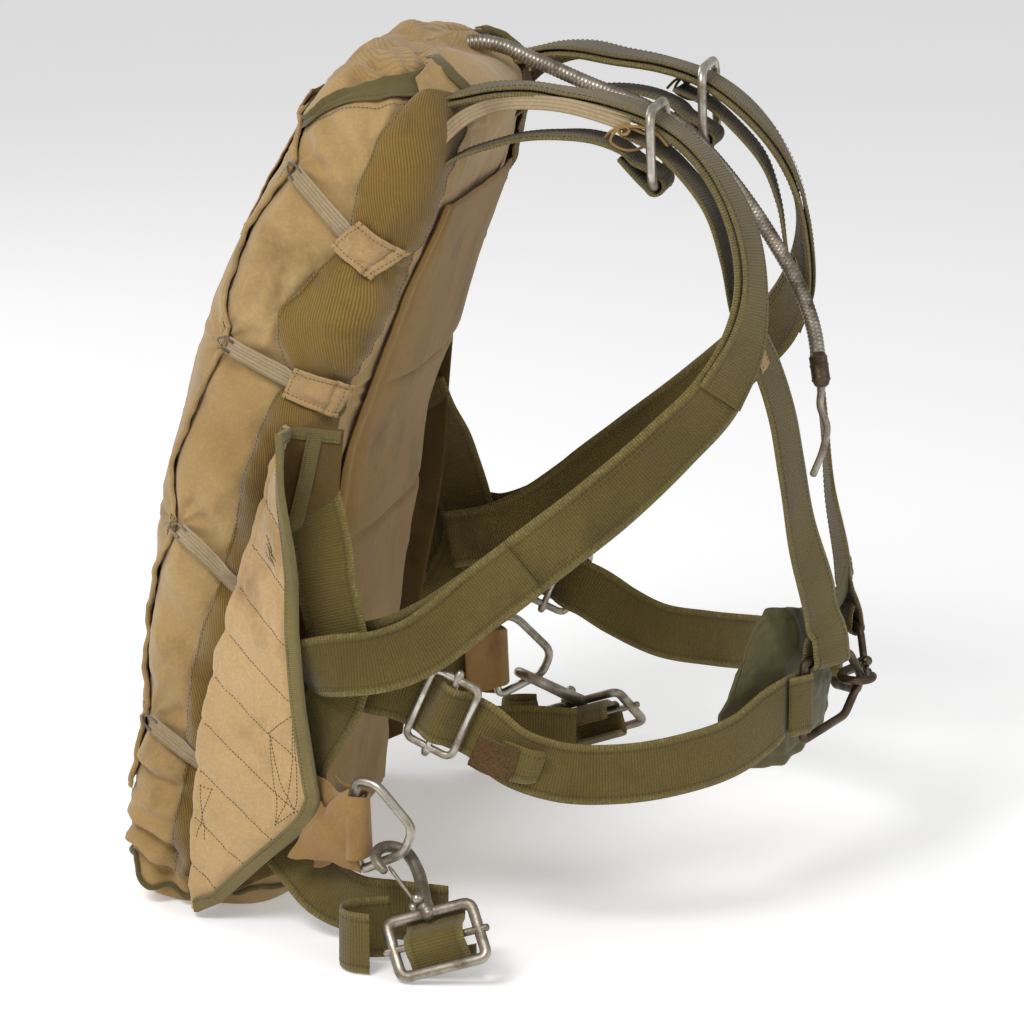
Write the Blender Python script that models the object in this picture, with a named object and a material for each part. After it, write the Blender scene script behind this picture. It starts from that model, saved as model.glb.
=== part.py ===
"""Packed back parachute with its body harness, standing on its flat bottom in the shape it is worn in.

x runs forward from the wearer's back, y to the wearer's left and z up, from the middle of the pack's flat bottom.
The tables are in millimetres. The near side is the wearer's right, at minus y, and the far side mirrors it.
"""

import math

import bmesh
import bpy
import numpy as np

MM = 0.001

WEB_WIDTH = 44.0
WEB_THICK = 3.0
SLING_THICK = 5.0
CLOTH = 2.0
ELASTIC_WIDTH = 14.0
ELASTIC_THICK = 2.0
WING_THICK = 3.0
WIRE = 7.0
HOUSING = 12.0

# The container, section by section from the floor to the hood. The outward side faces away from the wearer.
# Columns: height of the middle, x of the middle, tilt in degrees, half depth, half width, squareness
PACK = (
    (0.0, 1.0, 0.0, 55.0, 160.0, 4.0),
    (10.0, -2.0, 0.0, 64.0, 170.0, 4.2),
    (45.0, -3.0, 2.0, 68.0, 175.0, 4.5),
    (100.0, 2.0, 4.0, 67.0, 177.0, 4.5),
    (170.0, 9.0, 6.0, 66.0, 178.0, 4.5),
    (260.0, 21.0, 9.0, 66.0, 178.0, 4.5),
    (370.0, 42.0, 14.0, 66.0, 178.0, 4.5),
    (430.0, 62.0, 20.0, 65.0, 177.0, 4.5),
    (490.0, 86.0, 24.0, 64.0, 175.0, 4.2),
    (545.0, 112.0, 24.0, 62.0, 171.0, 4.0),
    (585.0, 128.0, 17.0, 60.0, 163.0, 3.6),
    (611.0, 134.0, 11.0, 54.0, 150.0, 3.2),
    (626.0, 134.0, 10.0, 42.0, 128.0, 3.0),
    (634.0, 132.0, 10.0, 25.0, 92.0, 2.6),
    (637.0, 131.0, 10.0, 9.0, 60.0, 2.4),
)
SECTION = np.array(PACK)
TOP = PACK[-1][0]

# The elastics that hold the side flaps shut, in side view. Columns: hook x, hook z, lower end x, lower end z
ELASTICS = (
    (73.0, 565.0, 134.0, 504.0),
    (20.0, 438.0, 104.0, 398.0),
    (-16.0, 298.0, 58.0, 232.0),
    (-43.0, 145.0, 32.0, 98.0),
)
# The canvas sleeves over the lower ends of the two upper elastics. Columns: x, z of each end, width
SLEEVES = (
    (116.0, 522.0, 138.0, 500.0, 30.0),
    (74.0, 412.0, 104.0, 398.0, 28.0),
)
# The scalloped hem of the side flap in side view, from the bottom up. Columns: x, z
HEM = (
    (-60.0, 30.0), (-57.0, 80.0), (-55.0, 124.0), (-49.0, 148.0), (-50.0, 198.0), (-38.0, 245.0),
    (-19.0, 300.0), (-15.0, 346.0), (1.0, 392.0), (21.0, 438.0), (28.0, 475.0), (44.0, 520.0), (71.0, 568.0),
    (76.0, 600.0),
)
# The edges of the twill band that runs down the side panel. Columns: z, outer edge x, inner edge x
BAND = (
    (36.0, -22.0, 24.0), (130.0, -10.0, 46.0), (193.0, -4.0, 58.0), (287.0, 27.0, 84.0), (356.0, 37.0, 96.0),
    (387.0, 54.0, 103.0), (425.0, 71.0, 117.0), (462.0, 70.0, 132.0), (492.0, 86.0, 146.0), (524.0, 117.0, 163.0),
    (560.0, 132.0, 177.0), (596.0, 150.0, 184.0),
)
# The quilted wing flap, row by row from the top. Columns: line sewn to the pad, fold, free bound edge
WING = (
    ((112, -181, 376), (71, -193, 380), (76, -227, 382)),
    ((108, -182, 330), (60, -197, 336), (80, -236, 338)),
    ((105, -183, 282), (46, -200, 290), (90, -243, 288)),
    ((97, -184, 226), (27, -201, 226), (92, -244, 232)),
    ((88, -184, 180), (10, -201, 160), (96, -240, 174)),
    ((82, -184, 145), (3, -200, 112), (102, -238, 128)),
    ((77, -184, 110), (-1, -199, 80), (103, -236, 106)),
    ((73, -184, 84), (-3, -197, 54), (91, -231, 86)),
    ((70, -184, 60), (-4, -196, 30), (56, -217, 53)),
    ((68, -184, 40), (-4, -194, 7), (20, -204, 18)),
)
# The main sling over the shoulder and down the side to the hip.
# Columns: x, y, z, then where its outer face looks: degrees round from forward to near side, degrees up
MAIN_SLING = (
    (197, -118, 588, 0, 175), (200, -117, 604, 0, 155), (212, -114, 617, 0, 115), (235, -110, 619, 0, 93),
    (262, -106, 615, 0, 80), (295, -106, 610, 0, 72), (328, -108, 599, 0, 60), (356, -110, 580, 2, 47),
    (380, -115, 553, 5, 33), (396, -121, 521, 9, 18), (403, -130, 483, 16, 6), (399, -141, 444, 30, 0),
    (384, -156, 409, 45, -2), (353, -171, 374, 60, -4), (312, -185, 335, 72, -4), (262, -193, 294, 82, -2),
    (218, -193, 258, 90, 0), (179, -189, 230, 92, 3), (146, -186, 214, 92, 3), (110, -184, 206, 92, 0),
)
# The back strap from the pad up to the shoulder ring, same columns
BACK_STRAP = (
    (192, -128, 561, 0, 170), (198, -127, 573, 0, 140), (212, -125, 582, 0, 110), (235, -122, 588, 0, 94),
    (262, -120, 590, 0, 86), (290, -114, 587, 0, 72), (309, -111, 579, 0, 60),
)
# The front strap from under the sling down to the upper bar of the chest ring, same columns
FRONT_STRAP = (
    (308, -113, 593, 0, 68), (332, -112, 582, 0, 58), (354, -114, 563, 2, 45), (374, -118, 538, 5, 32),
    (386, -118, 506, 8, 20), (394, -112, 466, 10, 14), (401, -105, 444, 12, 12), (411, -98, 421, 14, 12),
    (422, -92, 385, 14, 10), (429, -84, 341, 16, 8), (436, -73, 287, 20, 8), (447, -62, 240, 24, 6),
    (451, -57, 218, 25, 4),
)
# The side strap from the chest ring back to the hip adapter, and on from the adapter to the hip, same columns
SIDE_STRAP = (
    (421, -113, 158, 50, 0), (402, -140, 145, 52, 0), (364, -174, 136, 62, 0), (322, -195, 132, 72, 0),
    (279, -206, 134, 82, 0), (246, -213, 146, 88, 0),
)
SIDE_STRAP_END = ((140, -205, 192, 92, 0), (116, -199, 194, 92, 0))
# The drop strap from the side of the pad down behind the wing flap to the leg ring, same columns
DROP_STRAP = (
    (96, -207, 335, 88, 0), (100, -209, 300, 88, 0), (106, -211, 265, 90, 0), (114, -214, 235, 92, 0),
    (119, -216, 210, 95, 0), (115, -216, 186, 100, 0), (104, -213, 164, 106, 0), (93, -209, 145, 115, 0),
    (88, -207, 126, 123, 0), (91.3, -209.3, 111, 125, 0), (100.3, -215.6, 100, 125, 0), (111.3, -225.6, 95, 125, 0),
)
# The leg strap from under the wing flap to behind the leg snap, same columns
LEG_STRAP = (
    (58, -192, 78, 92, 20), (82, -204, 56, 92, 20), (106, -220, 38, 92, 10), (134, -232, 31, 92, 0),
    (166, -238, 31, 92, 0), (200, -238, 34, 90, 0), (226, -236, 38, 88, 0),
)
# How its end comes up through the leg frame and over the frame's bar. Columns: down the frame, out from its front
LEG_END = (
    (-30, -33), (-31, -22), (-28, -13), (-21, -7.5), (-12, -3), (-4.4, 4.7), (0, 5.8), (4.4, 4.7), (11, -2.2),
    (16.5, -7.5), (17, -12.5), (12, -17.5), (3, -21),
)
# The slack loop of its free end beside the frame, columns as for the straps
LEG_TAIL = (
    (168, -266, 28, 90, 0), (156, -265, 26, 90, 0), (143, -267, 25, 62, 0), (134, -275, 25, 25, 0),
    (134, -286, 24.5, -25, 0), (143, -295, 24, -62, 0), (157, -298, 24, -88, 0),
)
SHOULDER_RING = (332.0, -110.5, 584.0)
SHOULDER_RING_LOW = (333.0, -110.5, 556.0)
CHEST_RING = ((440, -82, 192), (467, -32, 189), (474, -12, 165), (465, -36, 141), (440, -82, 132))
CHEST_FRAME = ((440, 82, 192), (467, 32, 189), (472, 22, 165), (465, 36, 141), (440, 82, 132))
CHEST_HOLD = (471.0, -13.0, 165.0)
CHEST_HOOK_ROOT = (470.0, 24.0, 165.0)
LEG_RING = ((134, -240, 129), (151, -244, 128), (180, -251, 98), (173, -251, 79), (137, -240, 60))
DROP_HEADING = (0.82, -0.57, -0.01)
LEG_HOLD = (165.5, -250.5, 73.2)
LEG_FRAME = ((167, -285, 36), (230, -285, 57), (248, -310, 25), (185, -310, 4.2))
ADAPTER = (193.0, -211.0, 175.0)
# The ripcord housing over the far shoulder, and the bent rod grip under it. Columns: x, y, z
HOUSING_ROUTE = (
    (166, 54, 633), (180, 57, 629), (204, 60, 619), (246, 64, 601), (290, 67, 584), (320, 68, 568), (341, 70, 547),
    (364, 72, 519), (388, 72, 485), (410, 68, 449), (424, 58, 416), (429, 50, 393),
)
GRIP_ROUTE = ((424, 62, 388), (423, 61, 373), (429, 57, 357), (427, 54, 341), (420, 51, 321))

NEAR = np.array([1.0, 1.0, 1.0])
FAR = np.array([1.0, -1.0, 1.0])

COLOURS = {
    "pack_canvas": ((0.50, 0.32, 0.12), 0.92, 0.0),
    "flap_canvas": ((0.47, 0.30, 0.11), 0.92, 0.0),
    "twill_band": ((0.22, 0.14, 0.03), 0.9, 0.0),
    "elastic_webbing": ((0.32, 0.24, 0.17), 0.85, 0.0),
    "quilted_canvas": ((0.52, 0.34, 0.13), 0.92, 0.0),
    "binding_tape": ((0.13, 0.13, 0.05), 0.9, 0.0),
    "pad_canvas": ((0.44, 0.28, 0.10), 0.9, 0.0),
    "harness_webbing": ((0.14, 0.11, 0.022), 0.85, 0.0),
    "pad_satin": ((0.10, 0.085, 0.035), 0.6, 0.0),
    "plated_steel": ((0.50, 0.48, 0.42), 0.38, 1.0),
    "aged_steel": ((0.26, 0.22, 0.17), 0.42, 1.0),
    "dark_steel": ((0.09, 0.07, 0.05), 0.45, 1.0),
    "conduit_steel": ((0.36, 0.33, 0.28), 0.4, 1.0),
    "suede": ((0.42, 0.24, 0.08), 0.95, 0.0),
    "leather": ((0.20, 0.085, 0.03), 0.6, 0.0),
}


def unit(vectors):
    """The same vectors at length one."""
    vectors = np.asarray(vectors, float)
    return vectors / np.maximum(np.linalg.norm(vectors, axis=-1, keepdims=True), 1e-9)


def follow(keys, values, at):
    """Smooth curve through the values at rising keys, with no overshoot, read at the places asked for."""
    keys = np.asarray(keys, float)
    values = np.asarray(values, float)
    step = np.diff(keys)
    rise = np.diff(values) / step
    slope = np.concatenate([rise[:1], np.zeros(len(keys) - 2), rise[-1:]])
    agree = rise[:-1] * rise[1:] > 0
    total = np.where(agree, rise[:-1] + rise[1:], 1.0)
    slope[1:-1] = np.where(agree, 2 * rise[:-1] * rise[1:] / total, 0.0)
    at = np.clip(np.asarray(at, float), keys[0], keys[-1])
    cell = np.clip(np.searchsorted(keys, at) - 1, 0, len(keys) - 2)
    width = step[cell]
    t = (at - keys[cell]) / width
    start = values[cell] * (1 + 2 * t) * (1 - t) ** 2 + slope[cell] * width * t * (1 - t) ** 2
    end = values[cell + 1] * t * t * (3 - 2 * t) + slope[cell + 1] * width * t * t * (t - 1)
    return start + end


def ease(value):
    """Rises from 0 to 1 with soft ends as the value goes from 0 to 1."""
    value = np.clip(value, 0.0, 1.0)
    return value * value * (3 - 2 * value)


def section_at(height):
    """Middle x, tilt in radians, half depth, half width and squareness of the pack at a height."""
    x, tilt, depth, width, square = (follow(SECTION[:, 0], SECTION[:, k], height) for k in range(1, 6))
    return x, np.radians(tilt), depth, width, square


def relief(height, angle, x, z, side):
    """Soft swell of the packed canvas, pinched in where each elastic crosses the side panel."""
    swell = 1.5 * np.sin(height / 34.0 + 1.6 * np.cos(2 * angle)) + np.sin(height / 21.0 + 1.4 * np.cos(3 * angle))
    pinch = np.zeros_like(swell)
    for hook_x, hook_z, end_x, end_z in ELASTICS:
        run = np.array([end_x - hook_x, end_z - hook_z])
        t = np.clip(((x - hook_x) * run[0] + (z - hook_z) * run[1]) / (run @ run), 0.0, 1.0)
        away = np.hypot(x - hook_x - t * run[0], z - hook_z - t * run[1])
        pinch += np.exp(-(away / 20.0) ** 2)
    folds = 2.4 * np.cos(8 * angle) * np.exp(-((height - 608.0) / 16.0) ** 2)
    low = 1.6 * np.cos(6 * angle) * np.sin(height / 16.0) * np.exp(-((height - 50.0) / 28.0) ** 2)
    fade = ease(height / 30.0) * ease((TOP - height) / 14.0)
    return fade * (swell + folds + low - 4.0 * np.minimum(pinch, 1.0) * side ** 6)


def pack_wall(height, angle):
    """Point of the pack's skin at a height and an angle round it: 0 is outward, 90 degrees is the near side."""
    x, tilt, depth, width, square = section_at(height)
    reach = (np.abs(np.cos(angle)) ** square + np.abs(np.sin(angle)) ** square) ** (-1.0 / square)
    out = np.cos(angle) * reach
    side = np.sin(angle) * reach
    puff = relief(height, angle, x - np.cos(tilt) * depth * out, height + np.sin(tilt) * depth * out, np.abs(side))
    out = out * (depth + puff)
    side = side * (width + puff)
    return np.stack([x - np.cos(tilt) * out, -side, height + np.sin(tilt) * out], axis=-1)


def pack_skin(height, angle, lift):
    """Point at a lift above the pack's skin, measured along the skin's own facing direction."""
    height, angle = np.broadcast_arrays(np.asarray(height, float), np.asarray(angle, float))
    low = np.clip(height - 1.5, 0.0, TOP)
    high = np.clip(height + 1.5, 0.0, TOP)
    up = pack_wall(high, angle) - pack_wall(low, angle)
    round_ = pack_wall(height, angle + 0.01) - pack_wall(height, angle - 0.01)
    return pack_wall(height, angle) + unit(np.cross(round_, up)) * np.asarray(lift)[..., None]


def locate(x, z):
    """Height and angle on the side of the pack for a place given in side view."""
    x = np.asarray(x, float)
    z = np.asarray(z, float)
    height = np.clip(z, 0.0, TOP)
    for _ in range(60):
        middle, tilt, depth, width, square = section_at(height)
        along = (x - middle) * np.sin(tilt) + (z - height) * np.cos(tilt)
        height = np.clip(height + 0.7 * along, 0.0, TOP)
    out = np.clip((-(x - middle) * np.cos(tilt) + (z - height) * np.sin(tilt)) / depth, -0.985, 0.985)
    return height, np.arctan2((1 - np.abs(out) ** square) ** (1 / square), out)


def smooth_rows(rows, pace):
    """Rows of numbers, places first, joined by a smooth curve with a new row at least every pace millimetres."""
    rows = np.asarray(rows, float)
    gap = np.linalg.norm(np.diff(rows[:, :3], axis=0), axis=1)[:, None]
    rate = np.diff(rows, axis=0) / gap
    slope = np.vstack([rate[:1], (rate[:-1] * gap[1:] + rate[1:] * gap[:-1]) / (gap[:-1] + gap[1:]), rate[-1:]])
    joined = []
    for k in range(len(rows) - 1):
        count = max(1, math.ceil(gap[k, 0] / pace))
        t = (np.arange(count) / count)[:, None]
        start = rows[k] * (1 + 2 * t) * (1 - t) ** 2 + slope[k] * gap[k] * t * (1 - t) ** 2
        end = rows[k + 1] * t * t * (3 - 2 * t) + slope[k + 1] * gap[k] * t * t * (t - 1)
        joined.append(start + end)
    return np.vstack(joined + [rows[-1:]])


def course(rows):
    """Table rows turned into places and crosswise directions of a strap."""
    rows = np.asarray(rows, float)
    turn = np.radians(rows[:, 3])
    rise = np.radians(rows[:, 4])
    facing = np.stack([np.cos(rise) * np.cos(turn), -np.cos(rise) * np.sin(turn), np.sin(rise)], axis=1)
    heading = unit(np.gradient(rows[:, :3], axis=0))
    return np.hstack([rows[:, :3], unit(np.cross(facing, heading))])


def local_rows(middle, heading, across, places):
    """Strap rows from pairs of distances along the heading and out along the facing direction."""
    across = unit(across)
    heading = unit(np.asarray(heading, float) - across * np.dot(heading, across))
    facing = np.cross(heading, across)
    places = np.asarray(places, float)
    points = np.asarray(middle, float) + places[:, :1] * heading + places[:, 1:] * facing
    return np.hstack([points, np.tile(across, (len(points), 1))])


def eye(bar, heading, across, reach, ply, lead, tail, turn=1.0):
    """Strap rows that arrive at a bar, go round it and lie back under themselves, on the other face if turn is -1."""
    arc = np.radians([62, 95, 130, 165, 195, 230, 265, 298])
    places = [(-lead, ply / 2), (-1.7 * reach, 0.78 * reach)]
    places += [(-reach * math.cos(a), reach * math.sin(a)) for a in arc]
    places += [(-1.7 * reach, -0.78 * reach), (-tail, -ply / 2)]
    return local_rows(bar, heading, across, [(along, turn * out) for along, out in places])


def weave(middle, heading, across, rise, span):
    """Strap rows that pass under a frame's end bar, over its centre bar and under its other end bar."""
    places = ((-span - 9, -rise), (-span, -rise), (-0.55 * span, -0.35 * rise), (-0.2 * span, 0.8 * rise),
              (0, rise), (0.2 * span, 0.8 * rise), (0.55 * span, -0.35 * rise), (span, -rise), (span + 9, -rise))
    return local_rows(middle, heading, across, places)


def paint(name):
    """The material of that name."""
    found = bpy.data.materials.get(name)
    if found:
        return found
    colour, rough, metal = COLOURS[name]
    made = bpy.data.materials.new(name)
    made.use_nodes = True
    shader = made.node_tree.nodes["Principled BSDF"]
    shader.inputs["Base Color"].default_value = (*colour, 1.0)
    shader.inputs["Roughness"].default_value = rough
    shader.inputs["Metallic"].default_value = metal
    made.diffuse_color = (*colour, 1.0)
    return made


def keep(mesh, name, colour, origin=(0.0, 0.0, 0.0), group="packed_parachute"):
    """Object made of a mesh in millimetres about the given origin, faced outward and put in its collection."""
    work = bmesh.new()
    work.from_mesh(mesh)
    bmesh.ops.remove_doubles(work, verts=work.verts, dist=0.002)
    bmesh.ops.recalc_face_normals(work, faces=work.faces)
    for vertex in work.verts:
        vertex.co = [(vertex.co[k] - origin[k]) * MM for k in range(3)]
    work.to_mesh(mesh)
    work.free()
    made = bpy.data.objects.new(name, mesh)
    made.location = [value * MM for value in origin]
    made.data.materials.append(paint(colour))
    home = bpy.data.collections.get(group)
    if not home:
        home = bpy.data.collections.new(group)
        bpy.context.scene.collection.children.link(home)
    home.objects.link(made)
    return made


def sheet(name, middle, thick, colour, origin=(0.0, 0.0, 0.0)):
    """Closed solid about a grid of points, half the thickness to each face."""
    middle = np.asarray(middle, float)
    rows, cols = middle.shape[:2]
    facing = unit(np.cross(np.gradient(middle, axis=0), np.gradient(middle, axis=1)))
    half = facing * (np.broadcast_to(thick, (rows, cols)) / 2)[..., None]
    points = np.concatenate([(middle + half).reshape(-1, 3), (middle - half).reshape(-1, 3)])
    grid = np.arange(rows * cols).reshape(rows, cols)
    back = grid + rows * cols
    faces = []
    for i in range(rows - 1):
        for j in range(cols - 1):
            for side in (grid, back):
                faces.append((side[i, j], side[i + 1, j], side[i + 1, j + 1]))
                faces.append((side[i, j], side[i + 1, j + 1], side[i, j + 1]))
    rim = list(grid[:, 0]) + list(grid[-1, 1:]) + list(grid[-2::-1, -1]) + list(grid[0, -2:0:-1])
    for k, first in enumerate(rim):
        second = rim[(k + 1) % len(rim)]
        faces.append((second, first, first + rows * cols, second + rows * cols))
    mesh = bpy.data.meshes.new(name)
    mesh.from_pydata(points.tolist(), [], [tuple(int(v) for v in face) for face in faces])
    return keep(mesh, name, colour, origin)


def patch(name, heights, low_angle, high_angle, columns, lift, thick, side, colour):
    """Piece of cloth lying over the pack between two angles at each height."""
    t = np.linspace(0, 1, columns)[None, :]
    angle = np.asarray(low_angle)[:, None] * (1 - t) + np.asarray(high_angle)[:, None] * t
    middle = pack_skin(np.asarray(heights, float)[:, None], angle, lift + thick / 2) * side
    return sheet(name, middle, thick, colour)


def strip(name, start, end, width, columns, rows, lift, thick, side, colour):
    """Straight strip of cloth laid on the side of the pack between two places in side view."""
    start = np.asarray(start, float)
    run = np.asarray(end, float) - start
    cross = np.array([-run[1], run[0]]) / np.hypot(*run) * width
    t = np.linspace(0, 1, rows)[:, None]
    s = np.linspace(-0.5, 0.5, columns)[None, :]
    height, angle = locate(start[0] + t * run[0] + s * cross[0], start[1] + t * run[1] + s * cross[1])
    return sheet(name, pack_skin(height, angle, lift + thick / 2) * side, thick, colour)


def strap(name, rows, side, colour="harness_webbing", width=WEB_WIDTH, thick=WEB_THICK, pace=17.0):
    """Webbing of one width and thickness along strap rows."""
    rows = smooth_rows(rows, pace)
    heading = unit(np.gradient(rows[:, :3], axis=0))
    across = rows[:, 3:6] - heading * np.sum(heading * rows[:, 3:6], axis=1, keepdims=True)
    across = unit(across) * width / 2
    middle = np.stack([rows[:, :3] - across, rows[:, :3] + across], axis=1) * side
    return sheet(name, middle, thick, colour)


def rounded(corners, radius, steps=3):
    """Closed line through the corners with each corner rounded."""
    corners = np.asarray(corners, float)
    line = []
    for k, corner in enumerate(corners):
        back = corners[k - 1] - corner
        ahead = corners[(k + 1) % len(corners)] - corner
        cut = min(radius, 0.42 * np.linalg.norm(back), 0.42 * np.linalg.norm(ahead))
        before = corner + unit(back) * cut
        after = corner + unit(ahead) * cut
        for t in np.linspace(0, 1, steps):
            line.append(before * (1 - t) ** 2 + 2 * corner * t * (1 - t) + after * t * t)
    return np.array(line)


def rod(name, line, thick, colour, closed=False, sides=2, group="packed_parachute"):
    """Round bar swept along a line of points."""
    curve = bpy.data.curves.new(name, "CURVE")
    curve.dimensions = "3D"
    curve.bevel_depth = thick / 2
    curve.bevel_resolution = sides
    curve.use_fill_caps = not closed
    spline = curve.splines.new("POLY")
    spline.points.add(len(line) - 1)
    for point, place in zip(spline.points, line):
        point.co = (*[float(v) for v in place], 1.0)
    spline.use_cyclic_u = closed
    shape = bpy.data.objects.new(name + "_line", curve)
    mesh = bpy.data.meshes.new_from_object(shape)
    bpy.data.objects.remove(shape)
    return keep(mesh, name, colour, group=group)


def fuse(body, extra):
    """Join another solid onto a body."""
    extra.hide_render = True
    extra.display_type = "WIRE"
    join = body.modifiers.new("join", "BOOLEAN")
    join.operation = "UNION"
    join.solver = "EXACT"
    join.object = extra


def hook_line(hold, root, toward, radius):
    """Line of a snap hook: from its nose round the held bar and down the spine to its root."""
    hold = np.asarray(hold, float)
    down = unit(np.asarray(root, float) - hold)
    length = np.linalg.norm(np.asarray(root, float) - hold)
    over = unit(np.asarray(toward, float) - down * np.dot(down, toward))
    places = [(-0.93 * radius, 0.6 * radius), (-radius, 0.2 * radius)]
    places += [(-radius * math.cos(a), -radius * math.sin(a)) for a in np.radians([20, 50, 75, 105, 130, 160])]
    places += [(radius, 0.2 * radius), (0.93 * radius, 0.9 * radius), (0.55 * radius, 0.58 * length)]
    places += [(0.16 * radius, 0.84 * length), (0.0, length)]
    return np.array([hold + a * over + b * down for a, b in places]), over, down, length


def gate(name, hold, root, toward, radius, wire, colour, side):
    """Spring gate of a snap hook, from its hinge up to the inside of the nose."""
    line, over, down, length = hook_line(hold, root, toward, radius)
    hinge = np.asarray(hold, float) - 0.33 * radius * over + 0.8 * length * down
    tip = np.asarray(hold, float) - (radius - wire / 2 - 2.9) * over + 0.42 * radius * down
    pin = unit(np.cross(over, down))
    t = np.linspace(-0.06, 1, 7)[:, None]
    middle = hinge * (1 - t) + tip * t
    grid = np.stack([middle - pin * 3.2, middle + pin * 3.2], axis=1) * side
    thick = np.interp(t[:, 0], [-0.06, 0.0, 0.15, 1.0], [2.6, 4.0, 2.0, 2.0])[:, None]
    sheet(name, grid, thick, colour, origin=tuple(hinge * side))


def channel(name, edge, inward, facing, depth, half_gap, wall, colour):
    """Folded tape round an edge: a U section swept along it."""
    end = -1.2
    profile = ((depth, half_gap + wall), (end - wall, half_gap + wall), (end - wall, -half_gap - wall),
               (depth, -half_gap - wall), (depth, -half_gap), (end, -half_gap), (end, half_gap), (depth, half_gap))
    points = []
    for place, into, out in zip(edge, inward, facing):
        points += [tuple(place + into * a + out * b) for a, b in profile]
    faces = []
    for k in range(len(edge) - 1):
        for j in range(8):
            j2 = (j + 1) % 8
            faces.append((8 * k + j, 8 * k + 8 + j, 8 * k + 8 + j2))
            faces.append((8 * k + j, 8 * k + 8 + j2, 8 * k + j2))
    for base in (0, 8 * (len(edge) - 1)):
        faces += [(base, base + 1, base + 6, base + 7), (base + 1, base + 2, base + 5, base + 6)]
        faces.append((base + 2, base + 3, base + 4, base + 5))
    mesh = bpy.data.meshes.new(name)
    mesh.from_pydata(points, [], faces)
    return keep(mesh, name, colour)


def build_pack():
    """The filled container: one closed skin with a flat bottom and a domed hood."""
    heights = np.concatenate([[0, 4, 10, 22], np.linspace(38, 596, 29), [606, 616, 625, 632, 637]])
    count = 36
    angles = np.arange(count) / count * 2 * math.pi
    grid = pack_wall(heights[:, None], np.broadcast_to(angles, (len(heights), count)))
    points = grid.reshape(-1, 3)
    faces = []
    for i in range(len(heights) - 1):
        for j in range(count):
            j2 = (j + 1) % count
            base = count * i
            faces.append((base + j, base + j2, base + count + j2, base + count + j))
    faces.append(tuple(range(count - 1, -1, -1)))
    faces.append(tuple(range(count * (len(heights) - 1), count * len(heights))))
    mesh = bpy.data.meshes.new("pack_body")
    mesh.from_pydata(points.tolist(), [], faces)
    keep(mesh, "pack_body", "pack_canvas")


def build_covers(side, tag):
    """Side flap, band, elastics and sleeves on one side of the pack."""
    hem_height, hem_angle = locate([row[0] for row in HEM], [row[1] for row in HEM])
    heights = np.linspace(82, hem_height[-1], 23)
    hem = follow(hem_height, hem_angle, heights)
    patch("side_flap_" + tag, heights, np.full(23, math.radians(4.0)), hem, 7, 3.0, CLOTH, side, "flap_canvas")
    rows = np.array(BAND)
    low_height, low_angle = locate(rows[:, 1], rows[:, 0])
    high_height, high_angle = locate(rows[:, 2], rows[:, 0])
    high_angle = np.minimum(high_angle, math.radians(128))
    heights = np.linspace(30, 594, 23)
    patch("side_band_" + tag, heights, follow(low_height, low_angle, heights),
          follow(high_height, high_angle, heights), 4, 3.2, CLOTH, side, "twill_band")
    for k, (hook_x, hook_z, end_x, end_z) in enumerate(ELASTICS):
        strip("elastic_%s_%d" % (tag, k + 1), (hook_x - 3, hook_z + 2), (end_x, end_z), ELASTIC_WIDTH, 2, 9, 7.0,
              ELASTIC_THICK, side, "elastic_webbing")
    for k, (start_x, start_z, end_x, end_z, width) in enumerate(SLEEVES):
        strip("sleeve_%s_%d" % (tag, k + 1), (start_x, start_z), (end_x, end_z), width, 4, 5, 10.0, CLOTH, side,
              "flap_canvas")


def build_outer_flaps():
    """The flaps over the outward face: the top and bottom flaps and the long cover over the closing pins."""
    for name, low, high, half, lift in (
        ("pin_cover", 84.0, 470.0, 20.0, 6.6),
        ("top_flap", 478.0, 588.0, 36.0, 6.6),
        ("bottom_flap", 16.0, 77.0, 36.0, 2.0),
    ):
        rows = max(5, int((high - low) / 28))
        heights = np.linspace(low, high, rows)
        narrow = np.radians(half - 3.0 * np.abs(np.linspace(-1, 1, rows)) ** 3)
        patch(name, heights, -narrow, narrow, 7, lift, CLOTH, NEAR, "flap_canvas")


def build_pad():
    """The soft back pad on the wearer's side of the pack, thickest along its middle."""
    heights = np.linspace(24, 556, 20)
    half = np.radians(38.0 - 3.0 * np.abs(np.linspace(-1, 1, 20)) ** 4)
    t = np.linspace(-1, 1, 9)[None, :]
    angle = math.pi + half[:, None] * t
    row = np.linspace(-1, 1, 20)[:, None]
    thick = 4.0 + 10.0 * (1 - np.abs(t) ** 3) * (1 - np.abs(row) ** 6)
    sheet("back_pad", pack_skin(heights[:, None], angle, 2.8 + thick / 2), thick, "pad_canvas")


def wing_grid():
    """Grid of the folded wing flap: from the pad back to the fold, then forward again to the bound edge."""
    table = np.array(WING, float).reshape(len(WING), 9)
    table = smooth_rows(table, 30.0)
    sewn, fold, free = table[:, 0:3], table[:, 3:6], table[:, 6:9]
    inner = fold + (5, 4.5, 0)
    outer = fold + (5, -4.5, 0)
    columns = [sewn, sewn * 0.66 + inner * 0.34, sewn * 0.33 + inner * 0.67, inner, fold, outer]
    for t in (0.35, 0.7, 1.0):
        bulge = np.zeros_like(outer)
        bulge[:, 1] = -0.035 * math.sin(math.pi * t) * np.linalg.norm(free - outer, axis=1)
        columns.append(outer * (1 - t) + free * t + bulge)
    return np.stack(columns, axis=1)


def build_wing(side, tag):
    """The quilted wing flap and the tape bound round its free edge."""
    grid = wing_grid()
    sheet("wing_" + tag, grid * side, WING_THICK, "quilted_canvas")
    edge = grid[:, -1]
    heading = unit(np.gradient(edge, axis=0))
    inward = grid[:, -2] - edge
    inward = unit(inward - heading * np.sum(heading * inward, axis=1, keepdims=True))
    facing = np.cross(heading, inward)
    channel("wing_binding_" + tag, edge * side, inward * side, facing * side, 5.0, WING_THICK / 2 + 1.5, 1.2,
            "binding_tape")


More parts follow.
